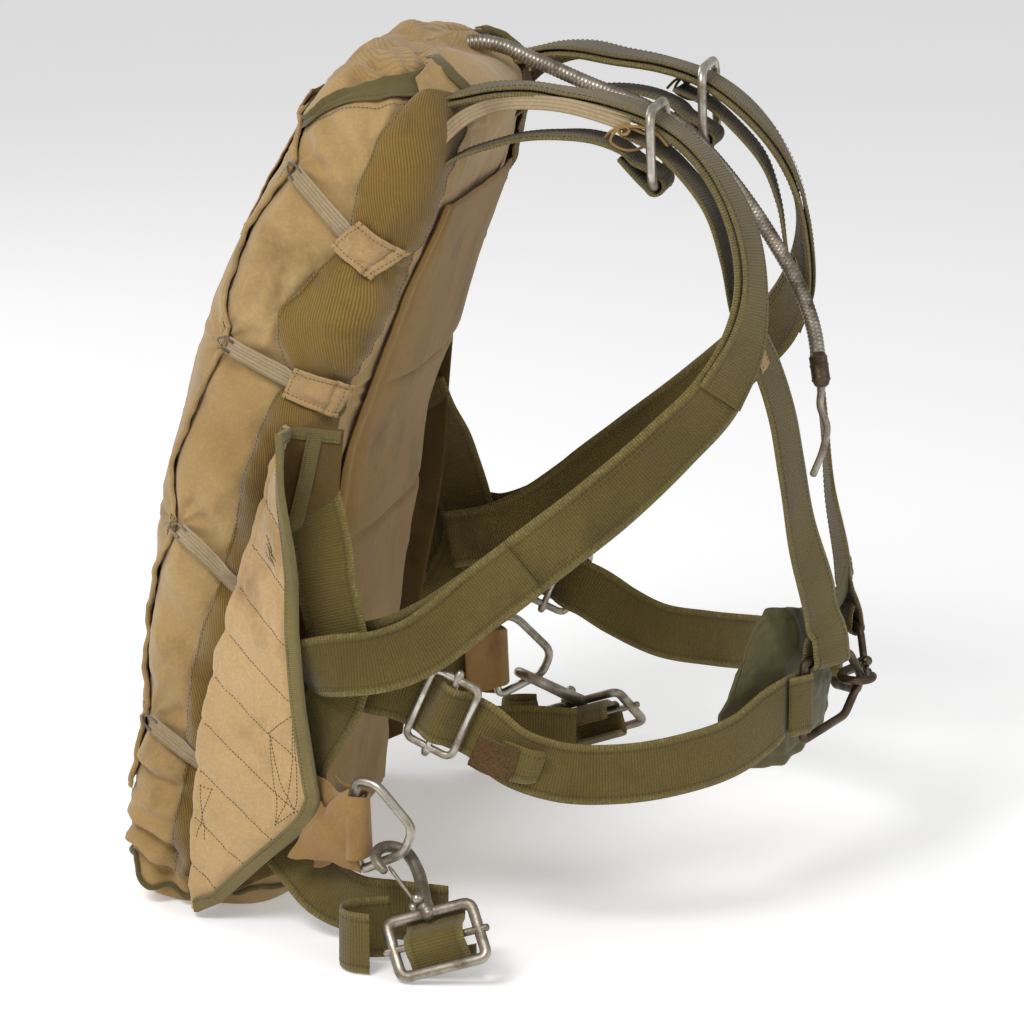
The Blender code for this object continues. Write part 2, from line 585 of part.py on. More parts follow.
def build_harness(side, tag):
    """The webbing of one side of the harness with its rings, adapter and leg snap."""
    crosswise = np.array([0.0, 1.0, 0.0])
    strap("main_sling_" + tag, course(MAIN_SLING), side, thick=SLING_THICK, pace=22.0)
    ring_low = np.array(SHOULDER_RING_LOW)
    down = unit([0.78, 0.0, -0.62])
    strap("back_strap_" + tag, np.vstack([course(BACK_STRAP), eye(ring_low, down, crosswise, 6.4, 4.6, 23, 32)]), side)
    lean = np.array([0.04, 0.0, -1.0]) * 28
    wide = crosswise * 32
    corners = [np.array(SHOULDER_RING) + lean * a + wide * b for a, b in ((-1, -1), (-1, 1), (1, 1), (1, -1))]
    rod("shoulder_ring_" + tag, rounded(corners, 14.0, 4) * side, WIRE, "plated_steel", closed=True)

    ring = np.array(CHEST_RING, float)
    upper = (ring[0] + ring[1]) / 2
    rear = (ring[0] + ring[-1]) / 2
    top_heading = (0.12, 0.05, -1.0)
    front = np.vstack([course(FRONT_STRAP), eye(upper, top_heading, ring[1] - ring[0], 5.9, 4.4, 21, 18)])
    strap("front_strap_" + tag, front, side)
    back_heading = unit([0.50, 0.86, 0.0])
    side_start = eye(rear, back_heading, ring[0] - ring[-1], 5.9, 4.4, 21, 18, turn=-1.0)[::-1]
    side_start[:, 3:6] *= -1
    adapter = np.array(ADAPTER)
    travel = unit([-0.92, 0.06, 0.40])
    cross = unit(np.cross([0.0, -1.0, 0.0], travel))
    run = [side_start, course(SIDE_STRAP), weave(adapter, travel, cross, 5.2, 19.0), course(SIDE_STRAP_END)]
    strap("side_strap_" + tag, np.vstack(run), side)
    corners = [adapter + travel * a * 19.0 + cross * b * 28.5 for a, b in ((-1, -1), (1, -1), (1, 1), (-1, 1))]
    frame = rod("hip_adapter_" + tag, rounded(corners, 7.0) * side, 6.0, "plated_steel", closed=True)
    ends = np.array([adapter - cross * 34.0, adapter + cross * 34.0]) * side
    fuse(frame, rod("hip_bar_" + tag, ends, 5.4, "plated_steel", sides=1, group="cutters"))

    leg_ring = np.array(LEG_RING, float)
    bar = (leg_ring[0] + leg_ring[-1]) / 2
    drop = np.vstack([course(DROP_STRAP), eye(bar, DROP_HEADING, leg_ring[0] - leg_ring[-1], 5.9, 4.4, 21, 17)])
    strap("drop_strap_" + tag, drop, side)
    rod("leg_ring_" + tag, rounded(leg_ring, 8.0) * side, WIRE, "plated_steel", closed=True)


def build_leg_snap(side, tag):
    """The snap that closes the leg strap on the leg ring, its spring gate and the strap through its frame."""
    frame = np.array(LEG_FRAME, float)
    root = (frame[0] + frame[1]) / 2
    toward = (0.70, 0.71, -0.02)
    line = hook_line(LEG_HOLD, root, toward, 14.0)[0]
    body = rod("leg_snap_" + tag, rounded(frame, 7.0) * side, WIRE, "aged_steel", closed=True)
    left = (frame[0] + frame[3]) / 2
    right = (frame[1] + frame[2]) / 2
    bar = np.array([left - unit(right - left) * 6, right + unit(right - left) * 6])
    fuse(body, rod("leg_bar_" + tag, bar * side, 5.6, "aged_steel", sides=1, group="cutters"))
    fuse(body, rod("leg_hook_" + tag, smooth_rows(line, 7.5) * side, 7.6, "aged_steel", group="cutters"))
    gate("leg_gate_" + tag, LEG_HOLD, root, toward, 14.0, 7.6, "aged_steel", side)
    middle = frame.mean(axis=0)
    travel = unit(frame[3] - frame[0])
    strap("leg_strap_" + tag, course(LEG_STRAP), side)
    strap("leg_strap_end_" + tag, local_rows(middle, travel, frame[1] - frame[0], LEG_END), side, pace=9.0)
    strap("leg_tail_" + tag, course(LEG_TAIL), side, pace=9.0)


def build_chest():
    """The chest ring, the snap that hooks into it and the soft pad behind both."""
    rod("chest_ring", rounded(CHEST_RING, 5.0), 6.6, "dark_steel", closed=True)
    body = rod("chest_snap", rounded(CHEST_FRAME, 5.0), 6.6, "dark_steel", closed=True)
    toward = (-1.0, 0.0, 0.0)
    line = hook_line(CHEST_HOLD, CHEST_HOOK_ROOT, toward, 12.0)[0]
    fuse(body, rod("chest_hook", smooth_rows(line, 7.5), 6.6, "dark_steel", group="cutters"))
    gate("chest_gate", CHEST_HOLD, CHEST_HOOK_ROOT, toward, 12.0, 6.6, "dark_steel", NEAR)
    y = np.linspace(-118, 64, 13)
    s = np.linspace(-1, 1, 6)
    high = np.interp(y, [-118, -85, 0, 64], [158, 232, 236, 214])
    low = np.interp(y, [-118, -70, 0, 64], [116, 110, 128, 176])
    z = (high[None, :] + low[None, :]) / 2 + s[:, None] * (high - low)[None, :] / 2
    x = 443.0 - 0.0043 * y[None, :] ** 2 + 0.0 * z
    grid = np.stack([x, np.broadcast_to(y, z.shape), z], axis=-1)
    across = np.linspace(-1, 1, 13)[None, :]
    thick = 3.0 + 5.0 * (1 - np.abs(s[:, None]) ** 4) * (1 - across ** 8)
    sheet("chest_pad", grid, thick, "pad_satin")


def build_ripcord():
    """The steel housing over the far shoulder, the ferrule at its lower end and the bent grip below."""
    route = smooth_rows(HOUSING_ROUTE, 16.0)
    rod("housing", route, HOUSING, "conduit_steel")
    last = route[-1]
    down = unit(route[-1] - route[-2])
    rod("housing_ferrule", [last + down * 0.5, last + down * 14.0], 15.0, "conduit_steel")
    lower = last + down * 17.0
    grip = smooth_rows(np.array(GRIP_ROUTE, float), 9.0)
    grip = grip - grip[0] + lower
    rod("ripcord_grip", grip, 6.0, "dark_steel")


def build_patches(side, tag):
    """The suede piece folded round the drop strap at the leg ring, and the leather keeper behind the adapter."""
    leg_ring = np.array(LEG_RING, float)
    bar = (leg_ring[0] + leg_ring[-1]) / 2
    rows = smooth_rows(eye(bar, DROP_HEADING, leg_ring[0] - leg_ring[-1], 9.6, 12.4, 27, 27), 14.0)
    heading = unit(np.gradient(rows[:, :3], axis=0))
    across = unit(rows[:, 3:6] - heading * np.sum(heading * rows[:, 3:6], axis=1, keepdims=True))
    away = np.linalg.norm(rows[:, :3] - bar, axis=1)
    half = np.interp(away, [9.0, 16.0, 40.0], [23.5, 25.0, 31.0])[:, None]
    columns = [rows[:, :3] + across * half * t for t in (-1.0, 0.0, 1.0)]
    sheet("ring_patch_" + tag, np.stack(columns, axis=1) * side, 1.6, "suede")


def main():
    """Clear the scene and build every piece."""
    for item in list(bpy.data.objects):
        bpy.data.objects.remove(item)
    build_pack()
    build_outer_flaps()
    build_pad()
    for side, tag in ((NEAR, "near"), (FAR, "far")):
        build_covers(side, tag)
        build_wing(side, tag)
        build_harness(side, tag)
        build_leg_snap(side, tag)
        build_patches(side, tag)
    build_chest()
    build_ripcord()


main()
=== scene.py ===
"""Packed back parachute with its body harness: fine surfaces, finishes, floor, light and camera.

x runs from the pack towards the chest straps, y from the near side to the far side and z up, from the middle of the
pack's flat bottom. The tables are in millimetres. The near side is at minus y, and the far side mirrors it.
"""

import math

import bmesh
import bpy
import numpy as np
from bpy.props import FloatProperty, FloatVectorProperty, PointerProperty
from bpy.types import Operator, Panel, PropertyGroup
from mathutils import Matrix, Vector


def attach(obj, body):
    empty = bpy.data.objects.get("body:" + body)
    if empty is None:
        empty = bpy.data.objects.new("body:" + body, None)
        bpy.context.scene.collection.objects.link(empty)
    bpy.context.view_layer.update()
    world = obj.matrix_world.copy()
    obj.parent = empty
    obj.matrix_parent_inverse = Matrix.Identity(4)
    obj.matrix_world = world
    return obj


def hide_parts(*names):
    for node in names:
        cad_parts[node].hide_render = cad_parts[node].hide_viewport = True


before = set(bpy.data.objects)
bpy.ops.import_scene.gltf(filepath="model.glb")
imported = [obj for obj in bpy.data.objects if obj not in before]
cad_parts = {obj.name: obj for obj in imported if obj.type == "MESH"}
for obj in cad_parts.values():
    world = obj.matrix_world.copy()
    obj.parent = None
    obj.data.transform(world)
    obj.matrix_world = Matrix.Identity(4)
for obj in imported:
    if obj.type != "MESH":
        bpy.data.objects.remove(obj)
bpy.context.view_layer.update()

bl_info = {
    "name": "Packed parachute",
    "version": (1, 0, 0),
    "blender": (4, 5, 0),
    "location": "3D View > Sidebar > Parachute",
    "description": "Dresses a packed back parachute and its harness in canvas, webbing and steel",
    "category": "Object",
}

MM = 0.001
ROOT = "pack"

# Measures shared with the solids

WEB_WIDTH = 44.0
WEB_THICK = 3.0
SLING_THICK = 5.0
CLOTH = 1.6
WIRE = 7.0

# The container, section by section from the floor to the hood. The outward side faces away from the harness.
# Columns: height of the middle, x of the middle, tilt in degrees, half depth, half width, squareness
PACK = (
    (0.0, 1.0, 0.0, 55.0, 160.0, 4.0),
    (10.0, -2.0, 0.0, 64.0, 170.0, 4.2),
    (45.0, -3.0, 2.0, 68.0, 175.0, 4.5),
    (100.0, 2.0, 4.0, 67.0, 177.0, 4.5),
    (170.0, 9.0, 6.0, 66.0, 178.0, 4.5),
    (260.0, 21.0, 9.0, 66.0, 178.0, 4.5),
    (370.0, 42.0, 14.0, 66.0, 178.0, 4.5),
    (430.0, 62.0, 20.0, 65.0, 177.0, 4.5),
    (490.0, 86.0, 24.0, 64.0, 175.0, 4.2),
    (545.0, 112.0, 24.0, 62.0, 171.0, 4.0),
    (585.0, 128.0, 17.0, 60.0, 163.0, 3.6),
    (611.0, 134.0, 11.0, 54.0, 150.0, 3.2),
    (626.0, 134.0, 10.0, 42.0, 128.0, 3.0),
    (634.0, 132.0, 10.0, 25.0, 92.0, 2.6),
    (637.0, 131.0, 10.0, 9.0, 60.0, 2.4),
)
SECTION = np.array(PACK)
TOP = PACK[-1][0]

# The elastics that hold the side flaps shut, in side view. Columns: hook x, hook z, lower end x, lower end z
ELASTICS = (
    (73.0, 565.0, 134.0, 504.0),
    (20.0, 438.0, 104.0, 398.0),
    (-16.0, 298.0, 58.0, 232.0),
    (-43.0, 145.0, 32.0, 98.0),
)
# The canvas sleeves over the lower ends of the two upper elastics. Columns: x, z of each end, width
SLEEVES = (
    (116.0, 522.0, 138.0, 500.0, 30.0),
    (74.0, 412.0, 104.0, 398.0, 28.0),
)
# The scalloped hem of the side flap in side view, from the bottom up. Columns: x, z
HEM = (
    (-60.0, 30.0), (-57.0, 80.0), (-55.0, 124.0), (-49.0, 148.0), (-50.0, 198.0), (-38.0, 245.0),
    (-19.0, 300.0), (-15.0, 346.0), (1.0, 392.0), (21.0, 438.0), (28.0, 475.0), (44.0, 520.0), (71.0, 568.0),
    (76.0, 600.0),
)
# The quilted wing flap, row by row from the top. Columns: line sewn to the pad, fold, free bound edge
WING = (
    ((112, -181, 376), (71, -193, 380), (76, -227, 382)),
    ((108, -182, 330), (60, -197, 336), (80, -236, 338)),
    ((105, -183, 282), (46, -200, 290), (90, -243, 288)),
    ((97, -184, 226), (27, -201, 226), (92, -244, 232)),
    ((88, -184, 180), (10, -201, 160), (96, -240, 174)),
    ((82, -184, 145), (3, -200, 112), (102, -238, 128)),
    ((77, -184, 110), (-1, -199, 80), (103, -236, 106)),
    ((73, -184, 84), (-3, -197, 54), (91, -231, 86)),
    ((70, -184, 60), (-4, -196, 30), (56, -217, 53)),
    ((68, -184, 40), (-4, -194, 7), (20, -204, 18)),
)
# The main sling over the shoulder and down the side to the hip.
# Columns: x, y, z, then where its outer face looks: degrees round from forward to near side, degrees up
MAIN_SLING = (
    (166, -112, 607, 0, 108), (190, -114, 613, 0, 104), (212, -114, 618, 0, 100), (235, -110, 619, 0, 93),
    (262, -106, 615, 0, 80), (295, -106, 610, 0, 72), (328, -108, 599, 0, 60), (356, -110, 580, 2, 47),
    (380, -115, 553, 5, 33), (396, -121, 521, 9, 18), (403, -130, 483, 16, 6), (399, -141, 444, 30, 0),
    (384, -156, 409, 45, -2), (353, -171, 374, 60, -4), (312, -185, 335, 72, -4), (262, -193, 294, 82, -2),
    (218, -193, 258, 90, 0), (179, -189, 230, 92, 3), (146, -186, 214, 92, 3), (110, -184, 206, 92, 0),
)
# The back strap from the pad up to the shoulder ring, same columns
BACK_STRAP = (
    (168, -126, 560, 0, 125), (190, -126, 574, 0, 118), (212, -125, 582, 0, 106), (235, -122, 588, 0, 94),
    (262, -120, 590, 0, 86), (290, -114, 587, 0, 72), (309, -111, 579, 0, 60),
)
# The front strap from under the sling down to the upper bar of the chest ring, same columns
FRONT_STRAP = (
    (308, -113, 593, 0, 68), (332, -112, 582, 0, 58), (354, -114, 563, 2, 45), (374, -118, 538, 5, 32),
    (386, -118, 506, 8, 20), (394, -112, 466, 10, 14), (401, -105, 444, 12, 12), (411, -98, 421, 14, 12),
    (422, -92, 385, 14, 10), (429, -84, 341, 16, 8), (436, -73, 287, 20, 8), (447, -62, 240, 24, 6),
    (451, -57, 218, 25, 4),
)
# The side strap from the chest ring back to the hip adapter, and on from the adapter to the hip, same columns
SIDE_STRAP = (
    (421, -113, 158, 50, 0), (402, -140, 145, 52, 0), (364, -174, 136, 62, 0), (322, -195, 132, 72, 0),
    (279, -206, 134, 82, 0), (246, -213, 146, 88, 0),
)
SIDE_STRAP_END = ((140, -205, 192, 92, 0), (116, -199, 194, 92, 0))
# The drop strap from the side of the pad down behind the wing flap to the leg ring, same columns
DROP_STRAP = (
    (84, -179, 336, 88, 0), (91, -186, 314, 88, 12), (101, -201, 288, 88, 18), (106, -210, 265, 90, 4),
    (114, -214, 235, 92, 0),
    (119, -216, 210, 95, 0), (115, -216, 186, 100, 0), (104, -213, 164, 106, 0), (93, -209, 145, 115, 0),
    (88, -207, 126, 123, 0), (91.3, -209.3, 111, 125, 0), (100.3, -215.6, 100, 125, 0), (111.3, -225.6, 95, 125, 0),
)
# The leg strap from under the wing flap to behind the leg snap, same columns
LEG_STRAP = (
    (58, -192, 78, 92, 20), (82, -204, 56, 92, 20), (106, -220, 38, 92, 10), (134, -232, 31, 92, 0),
    (166, -238, 31, 92, 0), (202, -240, 30, 90, 0),
)
# How its end comes up through the leg frame and over the frame's bar. Columns: down the frame, out from its front
LEG_END = (
    (-30, -33), (-31, -22), (-28, -13), (-21, -7.5), (-12, -3), (-4.4, 4.7), (0, 5.8), (4.4, 4.7), (11, -2.2),
    (16.5, -7.5), (17, -12.5), (12, -17.5), (3, -21),
)
# The slack loop of its free end beside the frame, columns as for the straps
LEG_TAIL = (
    (168, -266, 28, 90, 0), (156, -265, 26, 90, 0), (143, -267, 25, 62, 0), (134, -275, 25, 25, 0),
    (134, -286, 24.5, -25, 0), (143, -295, 24, -62, 0), (157, -298, 24, -88, 0),
)
SHOULDER_RING = (332.0, -110.5, 584.0)
SHOULDER_RING_LOW = (333.0, -110.5, 556.0)
CHEST_RING = ((440, -82, 192), (467, -32, 189), (474, -12, 165), (465, -36, 141), (440, -82, 132))
CHEST_FRAME = ((440, 82, 192), (467, 32, 189), (472, 22, 165), (465, 36, 141), (440, 82, 132))
CHEST_HOLD = (471.0, -13.0, 165.0)
CHEST_HOOK_ROOT = (470.0, 24.0, 165.0)
LEG_RING = ((134, -240, 129), (151, -244, 128), (180, -251, 98), (173, -251, 79), (137, -240, 60))
DROP_HEADING = (0.82, -0.57, -0.01)
LEG_HOLD = (165.5, -250.5, 73.2)
LEG_FRAME = ((167, -285, 36), (230, -285, 57), (248, -310, 25), (185, -310, 4.2))
ADAPTER = (193.0, -211.0, 175.0)
# The ripcord housing over the far shoulder, and the bent rod grip under it. Columns: x, y, z
HOUSING_ROUTE = (
    (148, 50, 630), (166, 54, 632), (180, 57, 629), (204, 60, 619), (246, 64, 601), (290, 67, 584), (320, 68, 568),
    (341, 70, 547),
    (364, 72, 519), (388, 72, 485), (410, 68, 449), (424, 58, 416), (429, 50, 393),
)
GRIP_ROUTE = ((424, 62, 388), (423, 61, 373), (429, 57, 357), (427, 54, 341), (420, 51, 321))

PACK_MIDDLE = np.array([60.0, 0.0, 300.0])
NEAR = np.array([1.0, 1.0, 1.0])
FAR = np.array([1.0, -1.0, 1.0])

# Wear and creases, placed one by one

# Creases of the near side panel in side view. Columns: x and z of each end, half width, height (minus is a trough)
SIDE_CREASES = (
    (85, 595, 118, 552, 6, 2.5), (93, 601, 125, 567, 6, -2.5), (104, 608, 131, 580, 7, 2.0),
    (81, 578, 101, 564, 5, -2.0), (133, 614, 127, 580, 7, -2.0), (142, 616, 136, 588, 6, 2.4),
    (77, 550, 38, 503, 8, 2.0), (89, 500, 66, 480, 8, 4.5), (72, 494, 61, 468, 6, -4.0), (55, 478, 50, 446, 7, 3.0),
    (41, 504, 33, 451, 9, 2.0), (79, 470, 56, 456, 6, -2.5), (67, 464, 49, 433, 6, 2.8), (20, 422, 54, 394, 7, -2.4),
    (13, 407, 47, 376, 8, 2.8), (0, 376, 36, 352, 8, -2.2), (-1, 354, 31, 324, 9, 2.6), (-10, 316, 15, 285, 7, -2.4),
    (-24, 268, 9, 238, 8, 2.6), (-35, 242, 3, 207, 8, -2.4), (-40, 218, -4, 176, 9, 2.6), (-47, 175, -10, 146, 7, -2.6),
    (-55, 112, -13, 107, 6, 3.2), (-56, 104, -10, 94, 4.5, -4.2), (-61, 85, -13, 73, 7, 3.6),
    (-61, 86, -41, 87, 4, -3.0), (-65, 69, -16, 51, 6, 3.6), (-65, 62, -11, 40, 4.5, -4.8), (-64, 51, -19, 31, 6, 3.6),
    (-63, 42, -25, 22, 4.5, -4.2),
    (-60, 29, -33, 12, 5, 3.0), (10, 90, 40, 84, 6, 2.6), (6, 70, 44, 58, 5, -3.0), (0, 48, 40, 30, 6, 2.8),
)
# Folds on top of the hood, seen from above. Columns: x and y of each end, half width, height
HOOD_FOLDS = (
    (101, -136, 112, -114, 7, 3.4), (110, -144, 121, -121, 6, -2.8), (116, -101, 140, -124, 5, -5.5),
    (119, -78, 143, -119, 6, 4.4), (122, -49, 150, -107, 7, 4.0), (138, -59, 156, -84, 5, -5.0),
    (142, -30, 163, -79, 6, 4.4), (148, -13, 174, -89, 8, -3.4), (105, -91, 116, -43, 9, 3.4),
    (107, -127, 130, -133, 5, -3.4),
    (96, -62, 130, -22, 9, 3.2), (108, -30, 150, 4, 9, -3.4), (90, -98, 104, -60, 8, -3.0),
)
# The seam where the hood is sewn to the side panels. Columns: degrees round from outward, height
HOOD_SEAM = (
    (0, 560.0), (36, 572.0), (44, 580.0), (49, 589.0), (53, 601.0), (60, 610.0), (70, 616.5), (86, 622.0), (104, 625.6),
    (115, 627.4), (127, 629.0), (138, 625.0), (143, 614.0), (150, 600.0), (180, 594.0),
)
# The sewn edges of the twill band round the pack. Columns: height, degrees of the outer edge, degrees of the inner edge
BAND_EDGES = (
    (36, 74, 112), (80, 76, 118), (129, 77, 122), (195, 77, 126), (252, 86, 131), (287, 91, 133), (305, 92, 132),
    (336, 92, 131), (367, 95, 132), (399, 99, 133), (422, 103, 133), (434, 94, 133), (446, 86, 133), (459, 82, 134),
    (478, 89, 136), (495, 96, 137), (528, 103, 137), (546, 99, 137), (569, 95, 139), (590, 96, 141), (607, 103, 144),
    (617, 115, 145),
)
# Heights of the press buttons on the outward face
BUTTON_HEIGHTS = (163.0, 268.0, 374.0, 492.0)
# Heights at which an elastic draws the twill band in
PINCHES = (112.0, 255.0, 412.0, 520.0)
# Stains in object places. Columns: x, y, z, size, strength
SMUDGES = ((38, -178, 498, 26, 0.75), (52, -178, 510, 20, 0.6), (22, -178, 486, 18, 0.5), (60, -180, 330, 16, 0.3))


# Curves and surfaces in numbers

def unit(vectors):
    """The same vectors at length one."""
    vectors = np.asarray(vectors, float)
    return vectors / np.maximum(np.linalg.norm(vectors, axis=-1, keepdims=True), 1e-9)


def follow(keys, values, at):
    """Cubic curve through values at rising keys whose slopes are the harmonic means of the runs beside each key."""
    keys = np.asarray(keys, float)
    values = np.asarray(values, float)
    step = np.diff(keys)
    rise = np.diff(values) / step
    slope = np.concatenate([rise[:1], np.zeros(len(keys) - 2), rise[-1:]])
    agree = rise[:-1] * rise[1:] > 0
    total = np.where(agree, rise[:-1] + rise[1:], 1.0)
    slope[1:-1] = np.where(agree, 2 * rise[:-1] * rise[1:] / total, 0.0)
    at = np.clip(np.asarray(at, float), keys[0], keys[-1])
    cell = np.clip(np.searchsorted(keys, at) - 1, 0, len(keys) - 2)
    width = step[cell]
    t = (at - keys[cell]) / width
    start = values[cell] * (1 + 2 * t) * (1 - t) ** 2 + slope[cell] * width * t * (1 - t) ** 2
    end = values[cell + 1] * t * t * (3 - 2 * t) + slope[cell + 1] * width * t * t * (t - 1)
    return start + end


def ease(value):
    """3t^2 - 2t^3 for t clamped to 0 to 1."""
    value = np.clip(value, 0.0, 1.0)
    return value * value * (3 - 2 * value)


def lattice(points, size, seed):
    """Value noise from -1 to 1: hashed numbers at the corners of cubes of a size, eased between them."""
    spot = np.asarray(points, float) / size
    base = np.floor(spot)
    part = spot - base
    part = part * part * (3 - 2 * part)
    total = 0.0
    for corner in range(8):
        step = np.array([corner & 1, corner >> 1 & 1, corner >> 2 & 1], float)
        wave = np.sin((base + step) @ np.array([127.1, 311.7, 74.7]) + 19.19 * seed) * 43758.5453
        weight = np.prod(np.where(step == 1, part, 1 - part), axis=-1)
        total = total + (wave - np.floor(wave)) * weight
    return 2 * total - 1


def rumple(points, size, seed):
    """Creased cloth: the fold lines of one noise, bent by another, so sharp ridges with soft flanks."""
    bent = points + 0.35 * size * lattice(points, size * 1.7, seed + 5)[..., None]
    return (1 - np.abs(lattice(bent, size, seed))) ** 3 - 0.35


def creases(table, a, b):
    """Sum of soft lines: height times exp(-(distance / half width)^2), fading out towards each end."""
    total = np.zeros(np.broadcast(a, b).shape)
    for a0, b0, a1, b1, wide, high in table:
        run = np.array([a1 - a0, b1 - b0], float)
        t = ((a - a0) * run[0] + (b - b0) * run[1]) / (run @ run)
        away = np.hypot(a - a0 - t * run[0], b - b0 - t * run[1])
        total = total + high * np.exp(-(away / wide) ** 2) * ease((t + 0.1) * 4) * ease((1.1 - t) * 3)
    return total


def section_at(height):
    """Middle x, tilt in radians, half depth, half width and squareness of the pack at a height."""
    x, tilt, depth, width, square = (follow(SECTION[:, 0], SECTION[:, k], height) for k in range(1, 6))
    return x, np.radians(tilt), depth, width, square


def relief(height, angle, x, z, side):
    """Waves round the pack, less a hollow of exp(-(distance / 20)^2) along each elastic."""
    swell = 1.5 * np.sin(height / 34.0 + 1.6 * np.cos(2 * angle)) + np.sin(height / 21.0 + 1.4 * np.cos(3 * angle))
    pinch = np.zeros_like(swell)
    for hook_x, hook_z, end_x, end_z in ELASTICS:
        run = np.array([end_x - hook_x, end_z - hook_z])
        t = np.clip(((x - hook_x) * run[0] + (z - hook_z) * run[1]) / (run @ run), 0.0, 1.0)
        away = np.hypot(x - hook_x - t * run[0], z - hook_z - t * run[1])
        pinch += np.exp(-(away / 20.0) ** 2)
    folds = 2.4 * np.cos(8 * angle) * np.exp(-((height - 608.0) / 16.0) ** 2)
    low = 1.6 * np.cos(6 * angle) * np.sin(height / 16.0) * np.exp(-((height - 50.0) / 28.0) ** 2)
    fade = ease(height / 30.0) * ease((TOP - height) / 14.0)
    return fade * (swell + folds + low - 4.0 * np.minimum(pinch, 1.0) * side ** 6)


def pack_wall(height, angle):
    """Superellipse |out|^n + |side|^n = 1 in each tilted section; angle 0 is outward and 90 degrees the near side."""
    x, tilt, depth, width, square = section_at(height)
    reach = (np.abs(np.cos(angle)) ** square + np.abs(np.sin(angle)) ** square) ** (-1.0 / square)
    out = np.cos(angle) * reach
    side = np.sin(angle) * reach
    puff = relief(height, angle, x - np.cos(tilt) * depth * out, height + np.sin(tilt) * depth * out, np.abs(side))
    out = out * (depth + puff)
    side = side * (width + puff)
    return np.stack([x - np.cos(tilt) * out, -side, height + np.sin(tilt) * out], axis=-1)


def pack_facing(height, angle):
    """Outward direction of the pack's wall: the cross product of its two slopes."""
    low = np.clip(height - 1.5, 0.0, TOP)
    high = np.clip(height + 1.5, 0.0, TOP)
    up = pack_wall(high, angle) - pack_wall(low, angle)
    round_ = pack_wall(height, angle + 0.01) - pack_wall(height, angle - 0.01)
    return unit(np.cross(round_, up))


def pack_skin(height, angle, lift):
    """Point at a lift above the pack's wall along its outward direction."""
    height, angle = np.broadcast_arrays(np.asarray(height, float), np.asarray(angle, float))
    return pack_wall(height, angle) + pack_facing(height, angle) * np.asarray(lift)[..., None]


def locate(x, z):
    """Height and angle on the side of the pack for a place given in side view, found by repeated correction."""
    x = np.asarray(x, float)
    z = np.asarray(z, float)
    height = np.clip(z, 0.0, TOP)
    for _ in range(60):
        middle, tilt, depth, width, square = section_at(height)
        along = (x - middle) * np.sin(tilt) + (z - height) * np.cos(tilt)
        height = np.clip(height + 0.7 * along, 0.0, TOP)
    out = np.clip((-(x - middle) * np.cos(tilt) + (z - height) * np.sin(tilt)) / depth, -0.985, 0.985)
    return height, np.arctan2((1 - np.abs(out) ** square) ** (1 / square), out)


def smooth_rows(rows, pace):
    """Rows of numbers, places first, joined by a smooth cubic with a new row at least every pace millimetres."""
    rows = np.asarray(rows, float)
    gap = np.linalg.norm(np.diff(rows[:, :3], axis=0), axis=1)[:, None]
    rate = np.diff(rows, axis=0) / gap
    slope = np.vstack([rate[:1], (rate[:-1] * gap[1:] + rate[1:] * gap[:-1]) / (gap[:-1] + gap[1:]), rate[-1:]])
    joined = []
    for k in range(len(rows) - 1):
        count = max(1, math.ceil(gap[k, 0] / pace))
        t = (np.arange(count) / count)[:, None]
        start = rows[k] * (1 + 2 * t) * (1 - t) ** 2 + slope[k] * gap[k] * t * (1 - t) ** 2
        end = rows[k + 1] * t * t * (3 - 2 * t) + slope[k + 1] * gap[k] * t * t * (t - 1)
        joined.append(start + end)
    return np.vstack(joined + [rows[-1:]])


def course(rows):
    """Table rows turned into places and crosswise directions of a strap."""
    rows = np.asarray(rows, float)
    turn = np.radians(rows[:, 3])
    rise = np.radians(rows[:, 4])
    facing = np.stack([np.cos(rise) * np.cos(turn), -np.cos(rise) * np.sin(turn), np.sin(rise)], axis=1)
    heading = unit(np.gradient(rows[:, :3], axis=0))
    return np.hstack([rows[:, :3], unit(np.cross(facing, heading))])


def local_rows(middle, heading, across, places):
    """Strap rows from pairs of distances along the heading and out along the facing direction."""
    across = unit(across)
    heading = unit(np.asarray(heading, float) - across * np.dot(heading, across))
    facing = np.cross(heading, across)
    places = np.asarray(places, float)
    points = np.asarray(middle, float) + places[:, :1] * heading + places[:, 1:] * facing
    return np.hstack([points, np.tile(across, (len(points), 1))])


def eye(bar, heading, across, reach, ply, lead, tail, turn=1.0):
    """Strap rows that arrive at a bar, go round it and lie back under themselves, on the other face if turn is -1."""
    arc = np.radians([62, 95, 130, 165, 195, 230, 265, 298])
    places = [(-lead, ply / 2), (-1.7 * reach, 0.78 * reach)]
    places += [(-reach * math.cos(a), reach * math.sin(a)) for a in arc]
    places += [(-1.7 * reach, -0.78 * reach), (-tail, -ply / 2)]
    return local_rows(bar, heading, across, [(along, turn * out) for along, out in places])


def weave(middle, heading, across, rise, span):
    """Strap rows that pass under a frame's end bar, over its centre bar and under its other end bar."""
    places = ((-span - 9, -rise), (-span, -rise), (-0.55 * span, -0.35 * rise), (-0.2 * span, 0.8 * rise),
              (0, rise), (0.2 * span, 0.8 * rise), (0.55 * span, -0.35 * rise), (span, -rise), (span + 9, -rise))
    return local_rows(middle, heading, across, places)


